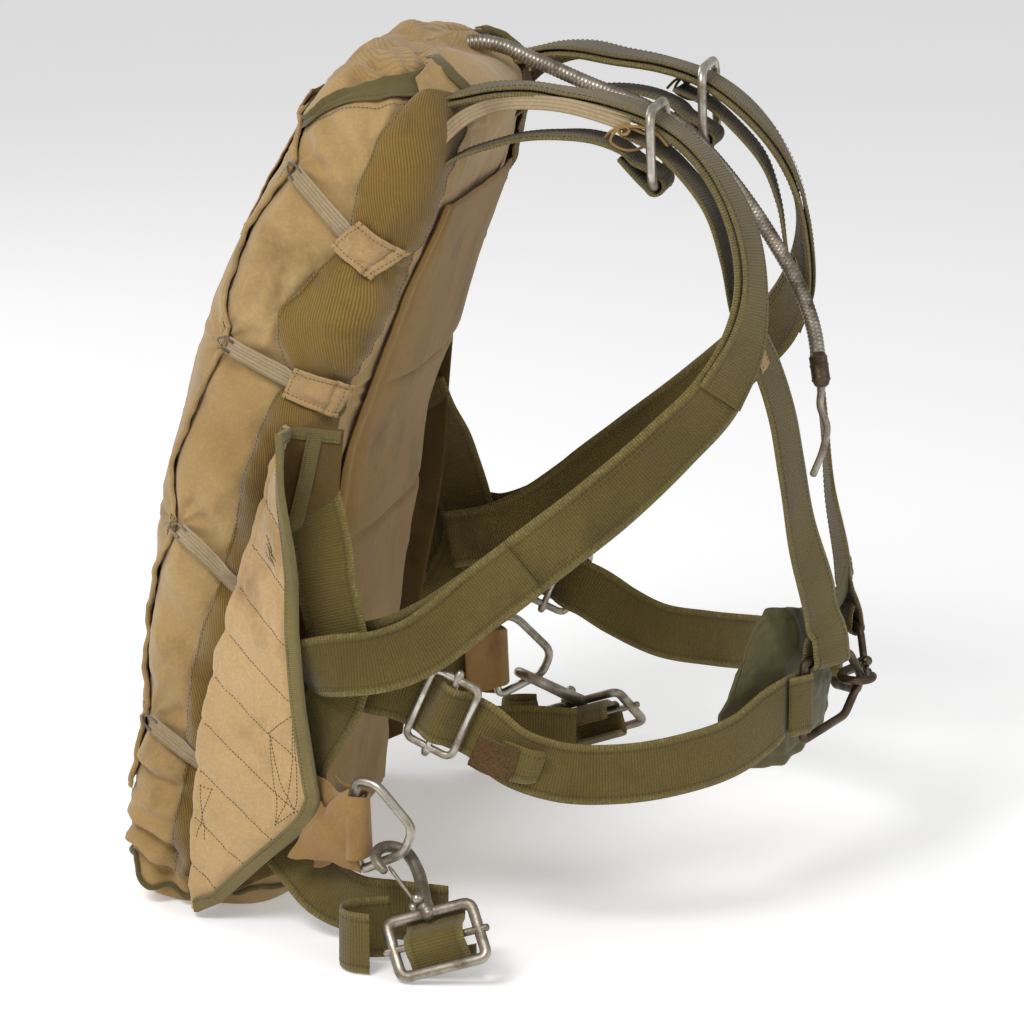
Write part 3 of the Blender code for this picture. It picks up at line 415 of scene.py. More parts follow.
def rounded(corners, radius, steps=7, closed=True):
    """Line through the corners, each corner replaced by the quadratic curve between the two cuts beside it."""
    corners = np.asarray(corners, float)
    line = []
    for k, corner in enumerate(corners):
        if not closed and k in (0, len(corners) - 1):
            line.append(corner)
            continue
        back = corners[k - 1] - corner
        ahead = corners[(k + 1) % len(corners)] - corner
        cut = min(radius, 0.42 * np.linalg.norm(back), 0.42 * np.linalg.norm(ahead))
        before = corner + unit(back) * cut
        after = corner + unit(ahead) * cut
        for t in np.linspace(0, 1, steps):
            line.append(before * (1 - t) ** 2 + 2 * corner * t * (1 - t) + after * t * t)
    return np.array(line)


def even(line, pace, closed=False):
    """The same line with points an even distance apart."""
    line = np.asarray(line, float)
    if closed:
        line = np.vstack([line, line[:1]])
    gone = np.concatenate([[0], np.cumsum(np.linalg.norm(np.diff(line, axis=0), axis=1))])
    count = max(2, int(round(gone[-1] / pace)) + (0 if closed else 1))
    at = np.linspace(0, gone[-1], count, endpoint=not closed)
    return np.stack([np.interp(at, gone, line[:, k]) for k in range(line.shape[1])], axis=1)


def hook_line(hold, root, toward, radius):
    """Line of a snap hook: from its nose round the held bar and down the spine to its root."""
    hold = np.asarray(hold, float)
    down = unit(np.asarray(root, float) - hold)
    length = np.linalg.norm(np.asarray(root, float) - hold)
    over = unit(np.asarray(toward, float) - down * np.dot(down, toward))
    places = [(-0.93 * radius, 0.6 * radius), (-radius, 0.2 * radius)]
    places += [(-radius * math.cos(a), -radius * math.sin(a)) for a in np.radians([20, 50, 75, 105, 130, 160])]
    places += [(radius, 0.2 * radius), (0.93 * radius, 0.9 * radius), (0.55 * radius, 0.58 * length)]
    places += [(0.16 * radius, 0.84 * length), (0.0, length)]
    return np.array([hold + a * over + b * down for a, b in places]), over, down, length


# Meshes

def settings():
    """The sizes and colours that a user can change."""
    return bpy.context.scene.chute_sizes, bpy.context.scene.chute_colours


def quads(index):
    """Corner numbers of the quads between the neighbours of a grid of vertex numbers."""
    return np.stack([index[:-1, :-1], index[:-1, 1:], index[1:, 1:], index[1:, :-1]], axis=-1).reshape(-1, 4)


def make_mesh(name, points, faces, uv=None, smooth=True):
    """Mesh from an array of points in millimetres, an array of faces and one uv pair for each face corner."""
    mesh = bpy.data.meshes.new(name)
    size = faces.shape[1]
    mesh.vertices.add(len(points))
    mesh.vertices.foreach_set("co", (np.asarray(points, float) * MM).ravel())
    mesh.loops.add(faces.size)
    mesh.loops.foreach_set("vertex_index", faces.ravel())
    mesh.polygons.add(len(faces))
    mesh.polygons.foreach_set("loop_start", np.arange(0, faces.size, size))
    mesh.update(calc_edges=True)
    if uv is not None:
        layer = mesh.uv_layers.new(name="cloth")
        layer.data.foreach_set("uv", (np.asarray(uv, float) * MM).ravel())
    mesh.polygons.foreach_set("use_smooth", np.full(len(faces), smooth))
    mesh.validate()
    return mesh


def place(mesh, name, colour, body=ROOT, nodes=(), weld=True, sharp=None):
    """Object for a finished mesh at the origin, faced outward, riding on its body in place of its solids."""
    if weld:
        work = bmesh.new()
        work.from_mesh(mesh)
        bmesh.ops.remove_doubles(work, verts=work.verts, dist=2e-6)
        bmesh.ops.recalc_face_normals(work, faces=work.faces)
        work.to_mesh(mesh)
        work.free()
    if sharp is not None:
        mesh.set_sharp_from_angle(angle=math.radians(sharp))
    made = bpy.data.objects.new(name, mesh)
    bpy.context.scene.collection.objects.link(made)
    made.data.materials.clear()
    made.data.materials.append(finish(colour))
    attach(made, body)
    if nodes:
        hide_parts(*nodes)
    return made


def run_lengths(points):
    """Distance along the first and the second direction of a grid of points."""
    down = np.linalg.norm(np.diff(points, axis=0), axis=-1).mean(axis=1)
    along = np.linalg.norm(np.diff(points, axis=1), axis=-1).mean(axis=0)
    return np.concatenate([[0], np.cumsum(down)]), np.concatenate([[0], np.cumsum(along)])


def slab(name, middle, thick, side=NEAR):
    """Closed thin mesh about a grid: the points plus and minus half the thickness along the grid's facing direction.

    The edge bulges out by half the thickness, so a hem has a round edge. The uv is the real distance across and along.
    """
    middle = np.asarray(middle, float)
    rows, cols = middle.shape[:2]
    facing = unit(np.cross(np.gradient(middle, axis=0), np.gradient(middle, axis=1)))
    thick = np.broadcast_to(thick, (rows, cols))[..., None]
    half = facing * thick / 2
    far_out = middle.copy()
    far_out[:, 0] += unit(middle[:, 0] - middle[:, 1]) * thick[:, 0] / 2
    far_out[:, -1] += unit(middle[:, -1] - middle[:, -2]) * thick[:, -1] / 2
    far_out[0] += unit(middle[0] - middle[1]) * thick[0] / 2
    far_out[-1] += unit(middle[-1] - middle[-2]) * thick[-1] / 2
    down, along = run_lengths(middle)
    chart = np.stack(np.broadcast_arrays(along[None, :], down[:, None]), axis=-1)
    grid = np.arange(rows * cols).reshape(rows, cols)
    rim = np.concatenate([grid[:, 0], grid[-1, 1:], grid[-2::-1, -1], grid[0, -2:0:-1]])
    following = np.roll(rim, -1)
    ring = 2 * rows * cols + np.arange(len(rim))
    ahead = np.roll(ring, -1)
    front = quads(grid)
    back = front[:, ::-1] + rows * cols
    upper = np.stack([following, rim, ring, ahead], axis=1)
    lower = np.stack([ahead, ring, rim + rows * cols, following + rows * cols], axis=1)
    faces = np.concatenate([front, back, upper, lower])
    points = np.concatenate([(middle + half).reshape(-1, 3), (middle - half).reshape(-1, 3),
                             far_out.reshape(-1, 3)[rim]]) * side
    flat = chart.reshape(-1, 2)
    table = np.concatenate([flat, flat, flat[rim]])
    return make_mesh(name, points, faces, table[faces])


def declare(piece):
    """Says that a piece is a sheet of cloth with the flat size of its grid."""
    return piece


def sweep(name, line, radius, sides=20, closed=False, flat=1.0, wide=None):
    """Round tube: circles of a radius carried along a line, each turned least from the one before it.

    flat squashes the circle along the wide direction's normal, for forged bars. Open ends close to a point.
    """
    line = np.asarray(line, float)
    radius = np.broadcast_to(radius, len(line)).astype(float)
    if closed:
        heading = unit(np.roll(line, -1, axis=0) - np.roll(line, 1, axis=0))
    else:
        heading = unit(np.gradient(line, axis=0))
        crown = np.array([1.0, 0.85, 0.5, 0.0])
        ends = []
        for end, sign in ((0, -1), (-1, 1)):
            reach = np.array([0.0, 0.5, 0.82, 1.0]) * radius[end] * 0.8
            ends.append((line[end] + heading[end] * sign * reach[:, None], radius[end] * crown))
        line = np.vstack([ends[0][0][:0:-1], line, ends[1][0][1:]])
        radius = np.concatenate([ends[0][1][:0:-1], radius, ends[1][1][1:]])
        heading = np.vstack([np.tile(heading[0], (3, 1)), heading, np.tile(heading[-1], (3, 1))])
    if wide is None:
        side = unit(np.cross(heading[0], [0.3, 0.2, 0.93]))
        turned = [side]
        for k in range(1, len(line)):
            side = unit(side - heading[k] * np.dot(side, heading[k]))
            turned.append(side)
        one = np.array(turned)
        if closed:
            two = np.cross(heading, one)
            last = unit(one[-1] - heading[0] * np.dot(one[-1], heading[0]))
            slip = math.atan2(np.dot(last, two[0]), np.dot(last, one[0]))
            turn = -slip * np.arange(len(line)) / len(line)
            one = one * np.cos(turn)[:, None] + two * np.sin(turn)[:, None]
    else:
        wide = np.broadcast_to(np.asarray(wide, float), line.shape)
        one = unit(wide - heading * np.sum(heading * wide, axis=1, keepdims=True))
    two = np.cross(heading, one)
    a = np.arange(sides) / sides * 2 * math.pi
    circle = one[:, None] * np.cos(a)[None, :, None] + two[:, None] * np.sin(a)[None, :, None] * flat
    points = line[:, None] + circle * radius[:, None, None]
    index = np.arange(len(line) * sides).reshape(len(line), sides)
    index = np.concatenate([index, index[:, :1]], axis=1)
    gone = np.concatenate([[0], np.cumsum(np.linalg.norm(np.diff(line, axis=0), axis=1))])
    if closed:
        index = np.concatenate([index, index[:1]], axis=0)
        gone = np.append(gone, gone[-1] + np.linalg.norm(line[0] - line[-1]))
    girth = np.linspace(0, 2 * math.pi * radius.max(), sides + 1)
    chart = np.stack(np.broadcast_arrays(girth[None, :], gone[:, None]), axis=-1)
    cells = np.arange(chart.shape[0] * chart.shape[1]).reshape(chart.shape[:2])
    return make_mesh(name, points.reshape(-1, 3), quads(index), chart.reshape(-1, 2)[quads(cells)])


def join(name, meshes):
    """One mesh from several."""
    work = bmesh.new()
    for mesh in meshes:
        work.from_mesh(mesh)
    joined = bpy.data.meshes.new(name)
    work.to_mesh(joined)
    work.free()
    for mesh in meshes:
        bpy.data.meshes.remove(mesh)
    joined.polygons.foreach_set("use_smooth", np.full(len(joined.polygons), True))
    return joined


def sewing(name, lines, facings, pitch=3.4, length=2.4, thick=0.62):
    """Thread laid as short six-sided grains along lines, each grain bowed into the cloth at its ends."""
    spots, heads, outs = [], [], []
    for line, facing in zip(lines, facings):
        line = np.asarray(line, float)
        both = even(np.hstack([line, np.broadcast_to(facing, line.shape)]), pitch)
        heads.append(unit(np.gradient(both[:, :3], axis=0)))
        spots.append(both[:, :3])
        outs.append(unit(both[:, 3:6]))
    spots, heads, outs = (np.vstack(v) for v in (spots, heads, outs))
    cross = np.cross(heads, outs)
    t = np.array([-0.5, -0.24, 0.24, 0.5])
    girth = np.array([0.3, 0.95, 0.95, 0.3]) * thick / 2
    bow = np.array([-0.9, 0.15, 0.15, -0.9]) * thick / 2
    a = np.arange(6) / 6 * 2 * math.pi
    along = heads[:, None, None] * (t * length)[None, :, None, None]
    lift = outs[:, None, None] * (bow[None, :, None, None] + (girth[:, None] * np.sin(a))[None, :, :, None])
    wide = cross[:, None, None] * (girth[:, None] * np.cos(a))[None, :, :, None]
    points = (spots[:, None, None] + along + lift + wide).reshape(-1, 3)
    per_grain = 24
    index = np.arange(per_grain).reshape(4, 6)
    index = np.concatenate([index, index[:, :1]], axis=1)
    body = quads(index)
    caps = np.array([[0, 1, 2, 3], [0, 3, 4, 5], [21, 20, 19, 18], [23, 22, 21, 18]])
    grain = np.concatenate([body, caps])
    faces = (grain[None] + per_grain * np.arange(len(spots))[:, None, None]).reshape(-1, 4)
    return make_mesh(name, points, faces)


# Finishes

def srgb(*values):
    """Linear colour from red, green and blue on the 0 to 255 scale of a screen."""
    part = np.array(values, float) / 255
    return tuple(np.where(part <= 0.04045, part / 12.92, ((part + 0.055) / 1.055) ** 2.4))


class Wiring:
    """Adds nodes to a tree. A plain value is set on its socket and a socket is joined to it."""

    def __init__(self, tree):
        self.tree = tree

    def node(self, kind, inputs=(), **choices):
        made = self.tree.nodes.new(kind)
        for key, value in choices.items():
            setattr(made, key, value)
        for key, value in dict(inputs).items():
            socket = made.inputs[key]
            if isinstance(value, bpy.types.NodeSocket):
                self.tree.links.new(value, socket)
            else:
                socket.default_value = value
        return made

    def math(self, operation, *values):
        return self.node("ShaderNodeMath", enumerate(values), operation=operation).outputs[0]

    def noise(self, vector, scale, detail=3.0, rough=0.55):
        inputs = {"Vector": vector, "Scale": scale, "Detail": detail, "Roughness": rough}
        return self.node("ShaderNodeTexNoise", inputs).outputs[0]

    def window(self, value, low, high, to_low=0.0, to_high=1.0):
        inputs = {"Value": value, "From Min": low, "From Max": high, "To Min": to_low, "To Max": to_high}
        return self.node("ShaderNodeMapRange", inputs).outputs[0]

    def mix(self, share, one, two, blend="MIX"):
        made = self.node("ShaderNodeMix", data_type="RGBA", blend_type=blend)
        for key, value in ((0, share), (6, one), (7, two)):
            if isinstance(value, bpy.types.NodeSocket):
                self.tree.links.new(value, made.inputs[key])
            elif key == 0:
                made.inputs[0].default_value = value
            else:
                made.inputs[key].default_value = (*value, 1.0) if len(value) == 3 else value
        return made.outputs[2]

    def group(self, name, **inputs):
        made = self.tree.nodes.new("ShaderNodeGroup")
        made.node_tree = bpy.data.node_groups[name]
        for key, value in inputs.items():
            socket = made.inputs[key.replace("_", " ")]
            if isinstance(value, bpy.types.NodeSocket):
                self.tree.links.new(value, socket)
            else:
                socket.default_value = value
        return made.outputs


def start_group(name, takes, gives):
    """New node group with named float or vector inputs and float outputs."""
    tree = bpy.data.node_groups.new(name, "ShaderNodeTree")
    for label, value in takes:
        kind = "NodeSocketVector" if value is None else "NodeSocketFloat"
        socket = tree.interface.new_socket(name=label, in_out="INPUT", socket_type=kind)
        if value is not None:
            socket.default_value = value
    for label in gives:
        tree.interface.new_socket(name=label, in_out="OUTPUT", socket_type="NodeSocketFloat")
    inside = Wiring(tree)
    return inside, inside.node("NodeGroupInput").outputs, inside.node("NodeGroupOutput")


def make_groups():
    """Shared effects: plain weave, cross ribs, twill, creased wear, grime and pitting."""
    w, take, give = start_group("plain weave", (("Chart", None), ("Pitch", 0.0011)), ("Height",))
    parts = w.node("ShaderNodeSeparateXYZ", {0: take["Chart"]}).outputs
    waves = []
    for axis in (0, 1):
        turn = w.math("MULTIPLY", w.math("DIVIDE", parts[axis], take["Pitch"]), math.pi)
        waves.append(w.math("ABSOLUTE", w.math("SINE", turn)))
    w.tree.links.new(w.math("MAXIMUM", *waves), give.inputs["Height"])

    # Crosswise ribs whose crests are broken into a fine chevron by the warp
    w, take, give = start_group("webbing ribs", (("Chart", None), ("Pitch", 0.0022), ("Warp", 0.0030)), ("Height",))
    parts = w.node("ShaderNodeSeparateXYZ", {0: take["Chart"]}).outputs
    warp = w.math("SINE", w.math("MULTIPLY", w.math("DIVIDE", parts[0], take["Warp"]), 2 * math.pi))
    shifted = w.math("ADD", w.math("DIVIDE", parts[1], take["Pitch"]), w.math("MULTIPLY", warp, 0.16))
    rib = w.math("ABSOLUTE", w.math("SINE", w.math("MULTIPLY", shifted, math.pi)))
    grain = w.math("MULTIPLY", w.math("ABSOLUTE", warp), 0.3)
    w.tree.links.new(w.math("ADD", rib, grain), give.inputs["Height"])

    # Herringbone: slanted ribs that turn back at every stripe
    w, take, give = start_group("herringbone", (("Chart", None), ("Pitch", 0.0016), ("Stripe", 0.006)), ("Height",))
    parts = w.node("ShaderNodeSeparateXYZ", {0: take["Chart"]}).outputs
    zigzag = w.math("PINGPONG", parts[0], take["Stripe"])
    slant = w.math("DIVIDE", w.math("ADD", parts[1], w.math("MULTIPLY", zigzag, 1.3)), take["Pitch"])
    rib = w.math("ABSOLUTE", w.math("SINE", w.math("MULTIPLY", slant, math.pi)))
    w.tree.links.new(rib, give.inputs["Height"])

    # Twill: slanted ribs all one way
    w, take, give = start_group("twill", (("Chart", None), ("Pitch", 0.0019)), ("Height",))
    parts = w.node("ShaderNodeSeparateXYZ", {0: take["Chart"]}).outputs
    slant = w.math("DIVIDE", w.math("ADD", parts[0], w.math("MULTIPLY", parts[1], 0.42)), take["Pitch"])
    rib = w.math("ABSOLUTE", w.math("SINE", w.math("MULTIPLY", slant, math.pi)))
    w.tree.links.new(rib, give.inputs["Height"])

    w, take, give = start_group("lengthwise ribs", (("Chart", None), ("Pitch", 0.0028)), ("Height",))
    parts = w.node("ShaderNodeSeparateXYZ", {0: take["Chart"]}).outputs
    rib = w.math("ABSOLUTE", w.math("SINE", w.math("MULTIPLY", w.math("DIVIDE", parts[0], take["Pitch"]), math.pi)))
    fine = w.math("ABSOLUTE", w.math("SINE", w.math("MULTIPLY", w.math("DIVIDE", parts[1], 0.0012), math.pi)))
    w.tree.links.new(w.math("ADD", rib, w.math("MULTIPLY", fine, 0.35)), give.inputs["Height"])

    # Cloth wear: broad fading, blotches of grime and thin rub lines, each from 0 to 1
    w, take, give = start_group("cloth wear", (("Place", None), ("Size", 1.0)), ("Fade", "Grime", "Fleck"))
    scale = w.math("DIVIDE", 7.0, take["Size"])
    fade = w.window(w.noise(take["Place"], scale, 4.0), 0.32, 0.68)
    w.tree.links.new(fade, give.inputs["Fade"])
    moved = w.node("ShaderNodeVectorMath", {0: take["Place"], 1: (0.31, 0.17, 0.05)}, operation="ADD").outputs[0]
    grime = w.window(w.noise(moved, w.math("MULTIPLY", scale, 2.2), 6.0, 0.62), 0.54, 0.74)
    w.tree.links.new(grime, give.inputs["Grime"])
    fleck = w.window(w.noise(moved, w.math("MULTIPLY", scale, 60.0), 2.0, 0.6), 0.45, 0.75)
    w.tree.links.new(fleck, give.inputs["Fleck"])

    w, take, give = start_group("metal wear", (("Place", None), ("Size", 1.0)), ("Tarnish", "Pits"))
    scale = w.math("DIVIDE", 55.0, take["Size"])
    tarnish = w.window(w.noise(take["Place"], scale, 5.0, 0.65), 0.38, 0.66)
    w.tree.links.new(tarnish, give.inputs["Tarnish"])
    pits = w.noise(take["Place"], w.math("MULTIPLY", scale, 9.0), 4.0, 0.7)
    w.tree.links.new(pits, give.inputs["Pits"])


# Columns: slot of the record, base colour, lighter tone, darker tone, roughness, sheen, weave, weave depth in mm,
# and how dark the painted shade in the weave's hollows is
CLOTHS = {
    "canvas": ("pack_canvas", (156, 126, 78), (174, 145, 98), (106, 80, 42), 0.93, 0.2, "plain weave", 0.10, 0.74),
    "flap": ("flap_canvas", (150, 121, 76), (168, 140, 94), (104, 80, 44), 0.93, 0.2, "plain weave", 0.10, 0.74),
    "sleeve": ("flap_canvas", (152, 122, 80), (170, 140, 98), (110, 84, 50), 0.92, 0.2, "plain weave", 0.12, 0.7),
    "twill": ("twill_band", (110, 84, 32), (132, 104, 44), (70, 52, 18), 0.88, 0.25, "twill", 0.42, 0.5),
    "elastic": ("elastic_webbing", (146, 126, 94), (166, 146, 114), (104, 86, 60), 0.88, 0.2, "lengthwise ribs", 0.4,
                0.6),
    "quilt": ("quilted_canvas", (172, 140, 94), (190, 158, 112), (124, 94, 54), 0.93, 0.25, "plain weave", 0.12, 0.74),
    # The wing's inner leaf: the quilted canvas in darker tones, painted shade for the shadow inside the fold
    "quilt_in_shade": ("quilted_canvas", (80, 60, 26), (98, 76, 36), (54, 38, 16), 0.93, 0.2, "plain weave", 0.12, 0.74),
    "pale tape": ("binding_tape", (108, 95, 54), (128, 115, 72), (74, 64, 34), 0.88, 0.2, "herringbone", 0.16, 0.66),
    "binding": ("binding_tape", (90, 79, 42), (112, 100, 60), (58, 50, 24), 0.88, 0.2, "herringbone", 0.16, 0.66),
    # Painted shade: the pad's tones are darker than the pack's canvas, for the shadow that falls across the pad
    "pad": ("pad_canvas", (130, 101, 50), (150, 120, 68), (86, 64, 28), 0.93, 0.15, "plain weave", 0.10, 0.74),
    "webbing": ("harness_webbing", (88, 74, 28), (108, 92, 42), (56, 46, 14), 0.86, 0.2, "webbing ribs", 0.42, 0.55),
    "satin": ("pad_satin", (72, 66, 32), (94, 86, 46), (44, 38, 18), 0.6, 0.1, "plain weave", 0.05, 0.8),
    "suede": ("pad_canvas", (132, 98, 52), (152, 118, 70), (92, 66, 32), 0.96, 0.4, "plain weave", 0.05, 0.85),
}
SLOTS = {name: row[0] for name, row in CLOTHS.items()}
SLOTS.update({"plated": "plated_steel", "aged": "aged_steel", "dark": "dark_steel", "conduit": "conduit_steel",
              "leather": "twill_band", "thread": "binding_tape", "pale thread": "flap_canvas", "snap": "dark_steel",
              "hook": "aged_steel"})
# Columns: base colour, tarnish colour, roughness of each, bump in mm
METALS = {
    "plated": ((196, 192, 180), (128, 116, 96), 0.30, 0.5, 0.08),
    "aged": ((168, 160, 146), (104, 92, 76), 0.34, 0.55, 0.14),
    "dark": ((104, 90, 74), (62, 50, 38), 0.36, 0.6, 0.10),
    "conduit": ((170, 162, 148), (86, 74, 58), 0.34, 0.55, 0.03),
    "snap": ((70, 58, 44), (36, 30, 24), 0.45, 0.6, 0.05),
    "hook": ((142, 136, 122), (84, 76, 62), 0.4, 0.6, 0.05),
}
# Columns: colour, darker colour, roughness
THREADS = {
    "thread": ((78, 66, 30), (52, 42, 18), 0.8),
    "pale thread": ((140, 110, 62), (104, 78, 40), 0.8),
}


def start_finish(name):
    """New material with its Principled shader, and the wiring to add to it."""
    made = bpy.data.materials.new(name)
    made.use_nodes = True
    shader = made.node_tree.nodes["Principled BSDF"]
    return made, shader, Wiring(made.node_tree)


def bump(w, shader, height, depth):
    """Joins a height from 0 to 1 to the shader's normal, that many millimetres deep."""
    made = w.node("ShaderNodeBump", {"Strength": 1.0, "Distance": depth * MM, "Height": height})
    w.tree.links.new(made.outputs[0], shader.inputs["Normal"])


def cloth_finish(name):
    """Woven cloth: three tones by fading and grime, a weave in the height and its hollows a little darker."""
    slot, base, light, dark, rough, sheen, weave_name, depth, hollow = CLOTHS[name]
    made, shader, w = start_finish(name)
    chart = w.node("ShaderNodeUVMap", uv_map="cloth").outputs[0]
    spot = w.node("ShaderNodeTexCoord").outputs["Object"]
    wear = w.group("cloth wear", Place=spot, Size=1.0)
    height = w.group(weave_name, Chart=chart)["Height"]
    tone = w.mix(wear["Fade"], srgb(*base), srgb(*light))
    tone = w.mix(w.math("MULTIPLY", wear["Grime"], 0.62), tone, srgb(*dark))
    if name == "webbing":
        across = w.node("ShaderNodeSeparateXYZ", {0: chart}).outputs[0]
        edge = w.math("ABSOLUTE", w.math("SUBTRACT", across, WEB_WIDTH * MM / 2))
        worn = w.window(edge, 0.0172, 0.0215)
        rubbed = w.math("MULTIPLY", worn, w.window(wear["Fleck"], 0.0, 1.0, 0.35, 0.9))
        tone = w.mix(rubbed, tone, srgb(130, 116, 68))
        # Painted shade: a thin dark line 5.5 mm in from each edge, for the shade in the groove along the stitching
        groove = w.window(w.math("ABSOLUTE", w.math("SUBTRACT", edge, 0.0165)), 0.0, 0.0012)
        tone = w.mix(w.window(groove, 0.0, 1.0, 0.35, 0.0), tone, srgb(*dark))
    if name == "flap":
        for x, y, z, size, strength in SMUDGES:
            gap = w.node("ShaderNodeVectorMath", {0: spot, 1: (x * MM, y * MM, z * MM)}, operation="DISTANCE")
            near = w.window(gap.outputs["Value"], 0.2 * size * MM, size * MM, strength, 0.0)
            patchy = w.math("MULTIPLY", near, w.window(w.noise(spot, 90.0, 4.0), 0.3, 0.6))
            tone = w.mix(patchy, tone, srgb(96, 84, 66))
    # Painted shade: the weave's hollows are darkened, down to the hollow share of the tone
    low = w.window(height, 0.0, 0.8, hollow, 1.05)
    shade = w.node("ShaderNodeCombineColor", {0: low, 1: low, 2: low}).outputs[0]
    tone = w.mix(1.0, tone, shade, "MULTIPLY")
    spot_tone = w.window(wear["Fleck"], 0.0, 1.0, 0.90, 1.05)
    speck = w.node("ShaderNodeCombineColor", {0: spot_tone, 1: spot_tone, 2: spot_tone}).outputs[0]
    tone = w.mix(1.0, tone, speck, "MULTIPLY")
    w.tree.links.new(tone, shader.inputs["Base Color"])
    w.tree.links.new(w.window(wear["Grime"], 0.0, 1.0, rough, rough - 0.12), shader.inputs["Roughness"])
    shader.inputs["Sheen Weight"].default_value = sheen
    shader.inputs["Sheen Roughness"].default_value = 0.5
    shader.inputs["Specular IOR Level"].default_value = 0.25 if name != "satin" else 0.35
    fuzz = w.noise(spot, 900.0, 2.0)
    bump(w, shader, w.math("ADD", height, w.math("MULTIPLY", fuzz, 0.5)), depth)
    return made


def metal_finish(name):
    """Steel: bright and tarnished tones by noise, rougher where dull, finely pitted."""
    bright, dull, smooth_value, rough_value, depth = METALS[name]
    made, shader, w = start_finish(name)
    spot = w.node("ShaderNodeTexCoord").outputs["Object"]
    wear = w.group("metal wear", Place=spot, Size=1.0)
    tone = w.mix(wear["Tarnish"], srgb(*bright), srgb(*dull))
    w.tree.links.new(tone, shader.inputs["Base Color"])
    w.tree.links.new(w.window(wear["Tarnish"], 0.0, 1.0, smooth_value, rough_value), shader.inputs["Roughness"])
    w.tree.links.new(w.window(wear["Tarnish"], 0.0, 1.0, 1.0, 0.75), shader.inputs["Metallic"])
    bump(w, shader, wear["Pits"], depth)
    return made


def thread_finish(name):
    """Sewing thread: two tones and a fine twist in the height."""
    base, dark, rough = THREADS[name]
    made, shader, w = start_finish(name)
    spot = w.node("ShaderNodeTexCoord").outputs["Object"]
    wear = w.group("cloth wear", Place=spot, Size=0.6)
    tone = w.mix(wear["Grime"], srgb(*base), srgb(*dark))
    w.tree.links.new(tone, shader.inputs["Base Color"])
    shader.inputs["Roughness"].default_value = rough
    bump(w, shader, w.noise(spot, 2500.0, 2.0), 0.05)
    return made


def leather_finish():
    """Brown leather: cell-like grain, darker in its hollows and paler where rubbed."""
    made, shader, w = start_finish("leather")
    spot = w.node("ShaderNodeTexCoord").outputs["Object"]
    grain = w.node("ShaderNodeTexVoronoi", {"Vector": spot, "Scale": 1300.0}).outputs["Distance"]
    wear = w.group("cloth wear", Place=spot, Size=0.4)
    tone = w.mix(wear["Fade"], srgb(84, 58, 24), srgb(104, 76, 36))
    tone = w.mix(w.window(grain, 0.35, 0.7), tone, srgb(56, 38, 14))
    w.tree.links.new(tone, shader.inputs["Base Color"])
    w.tree.links.new(w.window(wear["Grime"], 0.0, 1.0, 0.5, 0.7), shader.inputs["Roughness"])
    shader.inputs["Specular IOR Level"].default_value = 0.25
    bump(w, shader, w.math("SUBTRACT", 1.0, grain), 0.12)
    return made


def finish(name):
    """The material of that name, made when it is first asked for."""
    found = bpy.data.materials.get(name)
    if found:
        return found
    if name in CLOTHS:
        return cloth_finish(name)
    if name in METALS:
        return metal_finish(name)
    if name in THREADS:
        return thread_finish(name)
    return leather_finish()


# Pieces

BOTH = ((NEAR, "near"), (FAR, "far"))


def pulls(x, z):
    """Star of tension folds about each elastic's hook and end: cos(8 turn + ...) fading as exp(-distance / 30)."""
    total = np.zeros(np.shape(x))
    for row in ELASTICS:
        for k, (spot_x, spot_z) in enumerate((row[:2], row[2:])):
            away = np.hypot(x - spot_x, z - spot_z)
            turn = np.arctan2(z - spot_z, x - spot_x)
            star = np.cos(8 * turn + 1.3 * np.sin(away / 17.0) + k)
            total = total + 2.3 * star * np.exp(-away / 30.0) * ease(away / 9)
    return total


def pack_detail(height, angle, points):
    """Height of the folds on the container: placed creases, pulls at the elastics, the hood's roll, rumpled cloth."""
    mirrored = points * np.where(points[..., 1:2] > 0, FAR, NEAR)
    at_side = ease((np.abs(points[..., 1]) - 105) / 42)
    turn = np.degrees(angle) % 360
    turn = np.minimum(turn, 360 - turn)
    seam_height = np.interp(turn, *np.array(HOOD_SEAM).T)
    hood = ease((height - seam_height + 2.0) / 3.4)
    panel = at_side * (1 - hood)
    x, y, z = mirrored[..., 0], mirrored[..., 1], mirrored[..., 2]
    high = (1.55 * creases(SIDE_CREASES, x, z) + pulls(x, z)) * panel
    roll = 4.6 + 1.6 * np.exp(-((height - seam_height - 6) / 7.0) ** 2)
    high = high + hood * (roll + 1.3 * creases(HOOD_FOLDS, x, y) + 2.6 * rumple(points, 44.0, 3))
    low = ease((84 - height) / 60) * ease((height + 4) / 14)
    fan = 2.4 * np.sin(turn / 3.1 + 1.8 * np.sin(height / 12.0)) * low * at_side
    high = high + fan + 2.2 * rumple(points, 24.0, 9) * low
    body = ease(height / 20) * (1 - 0.5 * hood)
    stretched = points * (1.0, 1.0, 0.55)
    bent = stretched + np.stack([points[..., 2], points[..., 1], points[..., 0]], axis=-1) * (0.45, 0.0, 0.0)
    small = (1.0 * rumple(points, 23.0, 2) + 0.35 * rumple(points, 9.0, 6)) * (1 - 0.6 * hood)
    return high + body * (2.2 * rumple(bent, 52.0, 1) + small)


